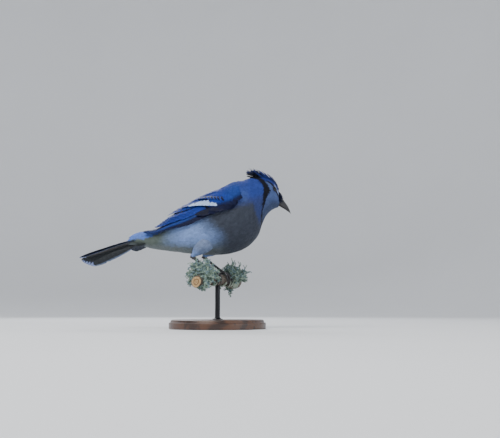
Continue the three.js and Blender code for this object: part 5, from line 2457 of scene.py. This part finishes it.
@dataclass
class Bristles:
    """Stiff bristly feathers that lie forward over the nostrils and the corners of the mouth."""

    count: int = 150
    reach: tuple[float, float] = (12.35, 12.95)  # of their roots' stations
    angles: tuple[float, float] = (2, 112)  # of their roots, from the crown's middle

    def build(self, finish: bpy.types.Material) -> None:
        """Builds the bristles as one piece."""
        self.form().piece("nasal_bristles", [finish], "head_plumage")

    def form(self) -> Form:
        """Thin tapered strands, rooted round the bill's root and swept forward along it.

        Returns:
            The bristles.
        """
        draw = np.random.default_rng(21)
        u = draw.uniform(*self.reach, self.count)
        v = np.radians(draw.choice([-1, 1], self.count) * draw.uniform(*self.angles, self.count))
        out = BODY.outward(u, v)
        root = BODY.point(u, v, -0.5)
        long = draw.uniform(4.0, 8.2, self.count) * np.interp(np.abs(v), (0, 1.0, 2.0), (0.75, 1.0, 0.6))
        s = np.linspace(0, 1, 7)[None, :, None]
        away = out * draw.uniform(0.12, 0.3, self.count)[:, None]
        way = unit(HEAD_AHEAD + away + 0.07 * draw.normal(size=(self.count, 3)))
        gone = long[:, None, None] * s
        paths = root[:, None] + way[:, None] * gone - 0.05 * out[:, None] * gone * s
        turn = circle(5)
        radius = 0.3 * (1 - 0.85 * s)
        form = swept(paths, radius * 1.5 * np.cos(turn), radius * 0.5 * np.sin(turn))
        size = len(form.vertices) // self.count
        colour = blend(Hue.LORE.light, Hue.CROWN.light, draw.uniform(0, 0.18, self.count))
        form.colours["tint"] = np.repeat(colour, size, axis=0)
        form.maps[VANE_MAP] = np.zeros((2, len(form.vertices), 2)) + 0.3
        place = np.stack([(u - 12.3) / 0.7, (v + 2.0) / 4.0], -1)
        local = np.stack([np.linspace(-1, 1, size), np.sin(np.arange(size))], -1)
        bake = (in_map(place[:, None]) + FEATHER_PATCH * local).reshape(-1, 2)
        form.maps[BAKE_MAP] = np.stack([bake, bake])
        return form


# The feet and what they stand on


@dataclass(frozen=True)
class BranchForm:
    """The cut branch's own directions: along it, and square to it, forwards."""

    yaw: float = math.radians(64)
    radius: float = 7.5
    half_length: float = 55.0

    def along(self) -> Array:
        """The direction of the branch."""
        return np.array([math.cos(self.yaw), math.sin(self.yaw), 0.0])

    def ahead(self) -> Array:
        """Square to the branch, to the bird's front."""
        return np.array([math.sin(self.yaw), -math.cos(self.yaw), 0.0])

    def around(self, along: Array, angle: Array, radius: Array) -> Array:
        """Points on circles round the branch, with angle in degrees from the top, forwards.

        Args:
            along: distances along the branch.
            angle: degrees from the top.
            radius: distances from the middle line.

        Returns:
            Points, with the common shape by three.
        """
        along, angle, radius = np.broadcast_arrays(np.asarray(along, float), np.radians(angle), radius)
        side = steps(self.ahead(), radius * np.sin(angle))
        return steps(self.along(), along) + side + steps(UP, radius * np.cos(angle) - self.radius)

    def middle(self, s: Array) -> Array:
        """The branch's middle line: straight where the feet grip it, sagging and waving a little beyond.

        Args:
            s: distances along the branch.

        Returns:
            Points, with the shape of s by three.
        """
        clear = smooth(25, 40, np.abs(s))
        sag = -3.2 * clear * (np.abs(s) / self.half_length) ** 2 + 1.6 * clear * np.sin(s * 0.13)
        return steps(self.along(), s) + steps(UP, sag - self.radius)

    def girth(self, s: Array) -> Array:
        """The branch's radius."""
        return self.radius - smooth(25, 40, np.abs(s)) * (0.5 + 0.5 * np.sin(s * 0.5) ** 2)


BRANCH = BranchForm()


@dataclass(frozen=True)
class Toe:
    """A toe: how far it spreads along the branch, how far round it in degrees, and how thick it is."""

    name: str
    spread: float
    reach: float
    radius: float


TOES = (
    Toe("inner", -6.2, 84, 1.3),
    Toe("middle", 0.4, 108, 1.45),
    Toe("outer", 6.6, 92, 1.3),
    Toe("hind", 0.2, -86, 1.45),
)


@dataclass
class Feet:
    """The scaled legs, the toes that grip the branch, and their claws."""

    orbit: float = 9.25  # of the toes' middles round the branch
    knuckle: float = 1.1  # how far the leg's foot stands above the toes' orbit
    claw_arc: float = 50.0

    def build(self, scaled: bpy.types.Material, horn: bpy.types.Material) -> None:
        """Builds both legs with their feet and claws.

        Args:
            scaled: the legs' finish.
            horn: the claws' finish.
        """
        for foot in FEET:
            leg = self.tarsus(foot).piece(f"tarsus_{foot.name}", [scaled], "leg_scales")
            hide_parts(f"leg_{foot.name}")
            toes = joined([self.pad(foot), *[self.toe(foot, toe) for toe in TOES]])
            toes = toes.piece(f"toes_{foot.name}", [scaled], "leg_scales")
            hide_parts(f"foot_{foot.name}")
            claws = joined([self.claw(foot, toe) for toe in TOES]).piece(f"claws_{foot.name}", [horn], "horn")
            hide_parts(*[f"claw_{foot.name}_{toe.name}" for toe in TOES])

    def tarsus(self, foot: Foot) -> Form:
        """The lower leg: overlapping scutes down its front, and a smooth back.

        Args:
            foot: whose leg it is.

        Returns:
            The closed form.
        """
        heel = np.array(foot.heel)
        down = BRANCH.around(foot.along, 0, self.orbit + self.knuckle)
        s = np.linspace(-0.06, 1.02, 120)
        radius = np.interp(s, (0, 0.06, 0.16, 0.5, 0.85, 1), (2.3, 2.5, 1.9, 1.5, 1.6, 1.9))
        path = heel + (down - heel) * s[:, None]
        turn = circle(28)[None]
        front = smooth(-0.3, 0.6, np.cos(turn))
        saw = (s[:, None] * 9) % 1
        scute = 0.16 * smooth(0, 0.85, saw) * smooth(1, 0.93, saw) * front
        ring = radius[:, None] * (1 + scute) - 0.05 * (1 - front) * np.abs(np.sin(s[:, None] * 90))
        return swept(path[None], (ring * np.cos(turn))[None], (ring * np.sin(turn))[None])

    def pad(self, foot: Foot) -> Form:
        """The knuckle where the toes meet.

        Args:
            foot: where the foot stands.

        Returns:
            The closed form.
        """
        lean = np.linspace(0, math.pi, 22)
        radius = 2.55 * np.sin(lean)
        up = BRANCH.around(foot.along, 0, self.orbit + self.knuckle)
        path = up + steps(UP, 2.3 * np.cos(lean))
        return round_tube(path, np.maximum(radius, 0.02), 24)

    def toe(self, foot: Foot, toe: Toe) -> Form:
        """One toe round the branch: scutes on its back, and pads beneath that press on the bark.

        Args:
            foot: where the foot stands.
            toe: which toe.

        Returns:
            The closed form.
        """
        s = np.linspace(0, 1, 84)
        spread = toe.spread * smooth(0, 0.85, s)
        path = BRANCH.around(foot.along + spread, toe.reach * s * 0.985, self.orbit + 0.25)
        radius = toe.radius * (1.08 - 0.2 * s + 0.1 * np.cos(s * 6 * math.pi))
        radius = radius * np.where(s > 0.97, 0.86, 1.0)
        turn = circle(22)[None]
        back = smooth(-0.1, 0.7, np.cos(turn))
        saw = (s[:, None] * 11) % 1
        ring = radius[:, None] * (1 + 0.13 * smooth(0, 0.8, saw) * smooth(1, 0.92, saw) * back)
        ring = ring * (1 - 0.08 * (1 - back) * np.cos(s[:, None] * 6 * math.pi))
        return self.gripping(path, ring * np.cos(turn), ring * np.sin(turn))

    def claw(self, foot: Foot, toe: Toe) -> Form:
        """One claw: a curved, tapered hook, deeper than it is wide, that lies along the branch's side.

        Args:
            foot: where the foot stands.
            toe: whose claw it is.

        Returns:
            The closed form.
        """
        s = np.linspace(0, 1, 26)
        way = math.copysign(1, toe.reach)
        angle = toe.reach * 0.97 + way * (3.3 + self.claw_arc * s) - way * 2.0 * (1 - s)
        lift = 0.35 + 1.0 * np.sin(s * math.pi * 0.75) - 0.6 * s
        path = BRANCH.around(foot.along + toe.spread + 0 * s, angle, self.orbit + lift)
        radius = lerp(1.12, 0.1, s**0.9)
        turn = circle(16)[None]
        return self.gripping(path, radius[:, None] * np.cos(turn), 0.82 * radius[:, None] * np.sin(turn))

    def gripping(self, path: Array, tall: Array, wide: Array) -> Form:
        """Rings round a path on the branch: the path, plus outwards times tall, plus sideways times wide.

        Args:
            path: the rings' middles.
            tall: offsets away from the branch's middle line, as rings by points.
            wide: offsets to the side, shaped as tall.

        Returns:
            The closed tube.
        """
        off = path + BRANCH.radius * UP
        outward = unit(off - steps(BRANCH.along(), off @ BRANCH.along()))
        side = unit(np.cross(outward, unit(np.gradient(path, axis=0))))
        return tube_of_rings(path[:, None] + steps(outward[:, None], tall) + steps(side[:, None], wide))


@dataclass
class Perch:
    """The cut branch with its bark, a broken stub and lichen."""

    rows: int = 260
    sides: int = 110

    def build(self, bark: bpy.types.Material, lichen: bpy.types.Material) -> None:
        """Builds the branch, which stands for its solid, and then the lichen on it.

        Args:
            bark: the branch's finish.
            lichen: the lichen's finish.
        """
        branch = joined([self.branch(), self.stub()]).piece("perch_bark", [bark], "bark")
        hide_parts("perch_branch")
        self.crusts().piece("lichen_crusts", [lichen], "bark")
        for number, (low, high, lean) in enumerate(((-53, -27, 0.75), (24, 53, 0.5))):
            self.tufts(low, high, lean, 500 + number).piece(f"lichen_tufts_{number + 1}", [lichen], "bark")

    def branch(self) -> Form:
        """The branch: its middle line with rings whose radius is furrowed by ripples stretched along it.

        Returns:
            The closed form.
        """
        end = BRANCH.half_length
        s = np.linspace(-end, end, self.rows)
        turn = circle(self.sides)
        across, above = BRANCH.radius * np.cos(turn), BRANCH.radius * np.sin(turn)
        grid = np.stack(np.broadcast_arrays(s[:, None] * 0.28, across, above), -1)
        furrow = 1 - np.abs(np.tanh(1.6 * Ripples(31, 5.0)(grid)))
        furrow = furrow * (0.65 + 0.35 * np.tanh(Ripples(32, 9.0)(grid)))
        lumps = Ripples(33, 14.0)(grid)
        free = smooth(24, 32, np.abs(s))[:, None]
        radius = BRANCH.girth(s)[:, None] - 0.75 * furrow - 0.12 + free * (0.35 * lumps + 0.35)
        middle = BRANCH.middle(s)
        around = steps(BRANCH.ahead(), np.sin(turn)) + steps(UP, np.cos(turn))
        rings = middle[:, None] + steps(around, radius)
        cut = np.array([0.97, 0.8, 0.55, 0.3, 0.12])
        start = middle[0] + (rings[0] - middle[0]) * cut[::-1, None, None]
        finish = middle[-1] + (rings[-1] - middle[-1]) * cut[:, None, None]
        form = tube_of_rings(np.concatenate([start, rings, finish]))
        wood = np.ones((len(cut), self.sides))
        depth = np.concatenate([0 * wood, furrow, 0 * wood])
        bare = np.concatenate([wood, 0 * furrow, wood])
        ring = (cut * 5 % 1)[:, None] * wood
        growth = np.concatenate([ring[::-1], 0 * furrow, ring])
        tint = np.stack([depth, bare, growth], -1).reshape(-1, 3)
        form.colours["tint"] = np.concatenate([np.clip(tint, 0, 1), [[0, 1, 0.2]] * 2])
        return form

    def stub(self) -> Form:
        """The broken side twig.

        Returns:
            The closed form.
        """
        s = np.linspace(0, 1, 40)
        sides = 30
        places = ((33, (0, 0, -7.5)), (38, (0, 0, 4.0)), (41, (0.6, 0, 11.0)))
        a, b, c = (BRANCH.along() * far + off for far, off in places)
        path = blend(blend(a, b, s), blend(b, c, s), s)
        turn = circle(sides)[None]
        radius = np.interp(s, (0, 0.5, 1), (3.5, 2.6, 2.0))[:, None]
        ring = radius * (1 + 0.07 * np.sin(5 * turn + 6 * s[:, None]) + 0.05 * np.sin(11 * turn))
        form = swept(path[None], (ring * np.cos(turn))[None], (ring * np.sin(turn))[None])
        tint = np.zeros((len(form.vertices), 3))
        tint[-sides - 2 :, 1] = 0.8  # the broken end is bare wood
        form.colours["tint"] = tint
        return form

    def crusts(self) -> Form:
        """Flat lobed rosettes on the bark, crowned and wavy at their margins.

        Returns:
            The rosettes as one form.
        """
        draw = np.random.default_rng(41)
        count, end = 34, 52
        s = draw.uniform(-end, end, count)
        angle = draw.uniform(-180, 180, count)
        foot, clear, grip = 15, 11, 130  # where a foot stands, how far it spreads, and its reach in degrees
        gripped = (np.abs(np.abs(s) - foot) < clear) & (np.abs(angle) < grip)
        s = np.where(gripped, np.sign(s) * draw.uniform(30, 50, count), s)
        size = draw.uniform(2.5, 6.5, count)
        turn = np.linspace(0, 2 * math.pi, 41)[None, None]
        share = np.linspace(0.02, 1, 7)[None, :, None]
        wave = draw.uniform(0, 6, (count, 1, 1))
        lobes = 1 + 0.16 * np.sin(5 * turn + wave) + 0.12 * np.sin(9 * turn + 2 * wave)
        lobes = lobes + 0.07 * np.sin(17 * turn)
        reach = size[:, None, None] * share * lerp(1, lobes, share)
        along = s[:, None, None] + reach * np.cos(turn)
        around = np.radians(angle)[:, None, None] + reach * np.sin(turn) / BRANCH.radius
        height = 0.35 + 0.3 * np.sin(8 * turn + 3 * wave) * share**3 + 0.45 * share**6 - 0.3 * (share < 0.1)

        def laid(rise: Array) -> Array:
            """Points above the bark by rise.

            Args:
                rise: heights above the bark.

            Returns:
                Points, with the shape of rise by three.
            """
            radius = BRANCH.girth(along) + rise
            side = steps(BRANCH.ahead(), radius * np.sin(around))
            return BRANCH.middle(along) + side + steps(UP, radius * np.cos(around))

        top, below = laid(height), laid(height - 0.35)
        pale = blend(paint(150, 166, 150), paint(176, 184, 168), draw.uniform(size=count))
        colour = np.broadcast_to(pale[:, None, None], top.shape) * lerp(0.75, 1.1, share)[..., None]
        return VanePlan(6, 40, True).form(top, below, {"tint": np.clip(colour, 0, 1)}, {})

    def tufts(self, low: float, high: float, lean: float, seed: int) -> Form:
        """Bushy lichen: stems that fork twice, each strand a flattened, tapering tube with a crooked middle.

        Args:
            low: where the tufts start along the branch.
            high: where they end.
            lean: how far they spread round the branch, as a share of a half turn.
            seed: of the random draw.

        Returns:
            The strands as one form.
        """
        draw = np.random.default_rng(seed)
        tufts, stems = 16, 9
        centre = draw.uniform(low, high, tufts)
        angle = draw.normal(size=tufts) * 90 * lean
        size = draw.uniform(7, 15, tufts)
        which = np.repeat(np.arange(tufts), stems)
        count = len(which)
        at = centre[which] + draw.normal(size=count) * 1.2
        around = angle[which] + draw.normal(size=count) * 9
        straight = BRANCH.around(at, around, 0 * at)
        root = BRANCH.around(at, around, BRANCH.girth(at) - 0.4) + BRANCH.middle(at) - straight
        out = unit(BRANCH.around(at, around, 1 + 0 * at) - straight)
        way = unit(out + 0.75 * draw.normal(size=(count, 3)) + [0, 0, 0.15])
        long = size[which] * draw.uniform(0.6, 1.1, count)
        levels = [(root, way, long, 0.6 + 0 * long)]
        for forks, shrink in ((3, 0.65), (3, 0.6)):
            start, heading, reach, thick = levels[-1]
            pick = np.repeat(np.arange(len(start)), forks)
            share = draw.uniform(0.25, 0.95, len(pick))
            begin = self.strand(start[pick], heading[pick], reach[pick], share[:, None], pick)[:, 0]
            bent = unit(heading[pick] + 0.8 * draw.normal(size=(len(pick), 3)))
            shorter = reach[pick] * shrink * draw.uniform(0.6, 1.2, len(pick))
            levels.append((begin, bent, shorter, thick[pick] * 0.95))
        forms = []
        for depth, (start, heading, reach, thick) in enumerate(levels):
            many = len(start)
            s = np.linspace(0, 1, 6)[None]
            paths = self.strand(start, heading, reach, np.broadcast_to(s, (many, 6)), np.arange(many))
            turn = circle(4)
            radius = thick[:, None, None] * (1 - 0.55 * s[..., None])
            form = swept(paths, radius * 1.5 * np.cos(turn), radius * 0.5 * np.sin(turn))
            tone = blend(paint(104, 128, 116), paint(160, 178, 162), draw.uniform(size=many))
            tone = blend(tone, paint(112, 138, 160), 0.6 * (draw.uniform(size=many) > 0.7))
            tone = tone * (0.85 + 0.12 * depth)
            form.colours["tint"] = np.repeat(tone, len(form.vertices) // many, axis=0)
            forms.append(form)
        return joined(forms)

    def strand(self, start: Array, way: Array, long: Array, share: Array, phase: Array) -> Array:
        """Points along crooked strands: the start, plus the way times the length's share, plus two waves.

        Args:
            start: the strands' starts.
            way: their directions.
            long: their lengths.
            share: where to read them, as strands by points.
            phase: a number for each strand that sets its wave.

        Returns:
            Points, as strands by points by three.
        """
        side = unit(np.cross(way, [0.3, 0.5, 0.81]))
        other = np.cross(way, side)

        def wave(size: float, waves: float, turn: float) -> Array:
            """A sideways wave that starts at nothing, as a share of the length."""
            first = phase[:, None] * turn
            return size * (np.sin(share * waves + first) - np.sin(first))

        straight = start[:, None] + steps(way[:, None], long[:, None] * share)
        swing = steps(side[:, None], long[:, None] * wave(0.2, 5.5, 1.7))
        return straight + swing + steps(other[:, None], long[:, None] * wave(0.16, 8.0, 2.9))


@dataclass
class Stand:
    """The plain stand: a turned base and one rod up to the branch."""

    radius: float = 62.0
    thickness: float = 12.0
    bevel: float = 1.6
    rod_radius: float = 3.2

    def build(self, wood: bpy.types.Material, steel: bpy.types.Material) -> None:
        """Builds the base and the rod.

        Args:
            wood: the base's finish.
            steel: the rod's finish.
        """
        base = self.base().piece("turned_base", [wood], "base_wood", 0.0)
        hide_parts("stand_base")
        rod = self.rod().piece("upright_rod", [steel], "rod_metal", 0.0)
        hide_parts("stand_rod")

    def base(self) -> Form:
        """The base's moulded edge: a bead, a hollow and a rounded shoulder.

        Returns:
            The closed form.
        """
        r, h, b = self.radius, self.thickness, self.bevel
        profile = [(r - 20, 0.0), (r - b, 0.0)]
        profile += arc((r - b, b), (b, b), (0.2 - QUARTER, 0.0), 8)
        profile += [(r, z) for z in run(5, b + 0.6, h - 5.6)]
        profile += arc((r - 0.7, h - 5), (0.7, 1.1), (0.1, QUARTER), 7)
        profile += arc((r - 0.7, h - 2.5), (1.6, 1.4), (-QUARTER - 0.15, -math.pi), 8)
        profile += arc((r - 5.6, h - 2.5), (3.3, 2.5), (0.1, QUARTER), 12)
        profile += [(x, h) for x in run(14, r - 7, 1.5)]
        return tube_of_rings(spun(profile, 160))

    def rod(self) -> Form:
        """The rod with its collar, up into the branch's underside.

        Returns:
            The closed form.
        """
        bottom, top = self.thickness + 0.05, PERCH_TOP - 2 * BRANCH.radius + 0.9
        r = self.rod_radius
        profile = [(r + 3.4, bottom), (r + 3.6, bottom + 0.3), (r + 3.4, bottom + 1.0)]
        profile += arc((r + 2.6, bottom + 4), (2.6, 3.0), (-QUARTER, -math.pi), 9)
        profile += [(r, z) for z in run(12, bottom + 5, top)]
        return tube_of_rings(spun(profile, 64))


@dataclass(frozen=True)
class Lamp:
    """A soft square light that looks at the bird: where it is, how wide, and its power in watts."""

    name: str
    place: tuple[float, float, float]
    size: float
    power: float
    colour: tuple[float, float, float]

    def build(self) -> None:
        """Puts the light into the scene."""
        light = bpy.data.lights.new(self.name, "AREA")
        light.shape = "SQUARE"
        light.size = self.size
        light.energy = self.power
        light.color = self.colour
        made = bpy.data.objects.new(self.name, light)
        made.location = self.place
        way = Vector((0.0, 0.0, 0.12)) - Vector(self.place)
        made.rotation_euler = way.to_track_quat("-Z", "Y").to_euler()
        bpy.context.scene.collection.objects.link(made)


LAMPS = (
    Lamp("key", (-0.75, -1.15, 1.35), 1.1, 30.0, (1.0, 0.985, 0.96)),
    Lamp("fill", (1.35, -0.95, 0.55), 1.3, 8.0, (0.9, 0.95, 1.0)),
    Lamp("rim", (-0.35, 1.25, 1.25), 0.9, 16.0, (0.96, 0.98, 1.0)),
)


@dataclass
class Studio:
    """The stage, the lights and the camera at the photograph's angle."""

    aim: tuple[float, float, float] = (0.0416, 0.0, 0.1415)
    elevation: float = math.radians(-7)
    distance: float = 0.97
    frame_width: float = 0.65  # what the picture spans at the aim

    def build(self) -> None:
        """Builds the floor, the lights and the camera."""
        self.floor()
        for lamp in LAMPS:
            lamp.build()
        world = bpy.data.worlds.new("studio_air")
        world.use_nodes = True
        sky = world.node_tree.nodes["Background"]
        sky.inputs["Color"].default_value = (0.86, 0.9, 0.96, 1.0)
        sky.inputs["Strength"].default_value = 0.6
        bpy.context.scene.world = world
        self.camera()

    def floor(self) -> None:
        """A wide round floor whose rim curves up all round."""
        flat = [(r, 0.0) for r in (200, 500, 1000, 1500, 1900)]
        curve = arc((1900, 900), (900, 900), (0.1 - QUARTER, 0.0), 14)
        wall = [(2800.0, z) for z in (1200, 1800, 2400)]
        sides = 96
        rings = spun(flat + curve + wall, sides)
        vertices = np.concatenate([rings.reshape(-1, 3), [[0, 0, 0]]]) * MM
        j = np.arange(sides)
        fan = np.stack([np.full(sides, len(vertices) - 1), j, (j + 1) % sides], -1)
        mesh = bpy.data.meshes.new("studio_floor")
        quads = grid_quads(len(rings), sides, closed=True)
        mesh.from_pydata(vertices.tolist(), [], [*quads.tolist(), *fan.tolist()])
        mesh.polygons.foreach_set("use_smooth", np.ones(len(mesh.polygons), bool))
        mesh.materials.append(StudioPaper().material())
        made = bpy.data.objects.new("studio_floor", mesh)
        bpy.context.scene.collection.objects.link(made)

    def camera(self) -> None:
        """The camera: straight at the bird's right side, looking a little upwards from above the floor."""
        lens = bpy.data.cameras.new("photo_view")
        lens.sensor_width = 36.0
        lens.lens = lens.sensor_width * self.distance / self.frame_width
        lens.clip_start = 0.01
        lens.clip_end = 20.0
        back = Vector((0.0, -math.cos(self.elevation), math.sin(self.elevation)))
        made = bpy.data.objects.new("photo_view", lens)
        made.location = Vector(self.aim) + back * self.distance
        made.rotation_euler = (-back).to_track_quat("-Z", "Y").to_euler()
        bpy.context.scene.collection.objects.link(made)
        bpy.context.scene.camera = made


def main() -> None:
    """Loads the frame and builds each sub-assembly in order."""
    logging.basicConfig(level=logging.INFO, format="%(name)s %(message)s")
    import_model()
    soft = Plumage("soft_plumage").material()
    upper = Quill("flight_feather").material()
    under = Quill("flight_lining", under=True).material()
    horn = Horn().material()
    Skin().build(soft)
    Coat().build(soft)
    Crest().build(soft)
    Bristles().build(soft)
    Eyes().build(Glass().material(), LidSkin().material())
    Bill().build(horn)
    for name, side in (("right", -1), ("left", 1)):
        Wing(name, side).build(upper, under, soft)
    Tail().build(upper, under, soft)
    Feet().build(Scaled().material(), horn)
    Perch().build(Bark().material(), Lichen().material())
    Stand().build(StainedWood().material(), DarkSteel().material())
    Studio().build()


if __name__ == "__main__":
    main()
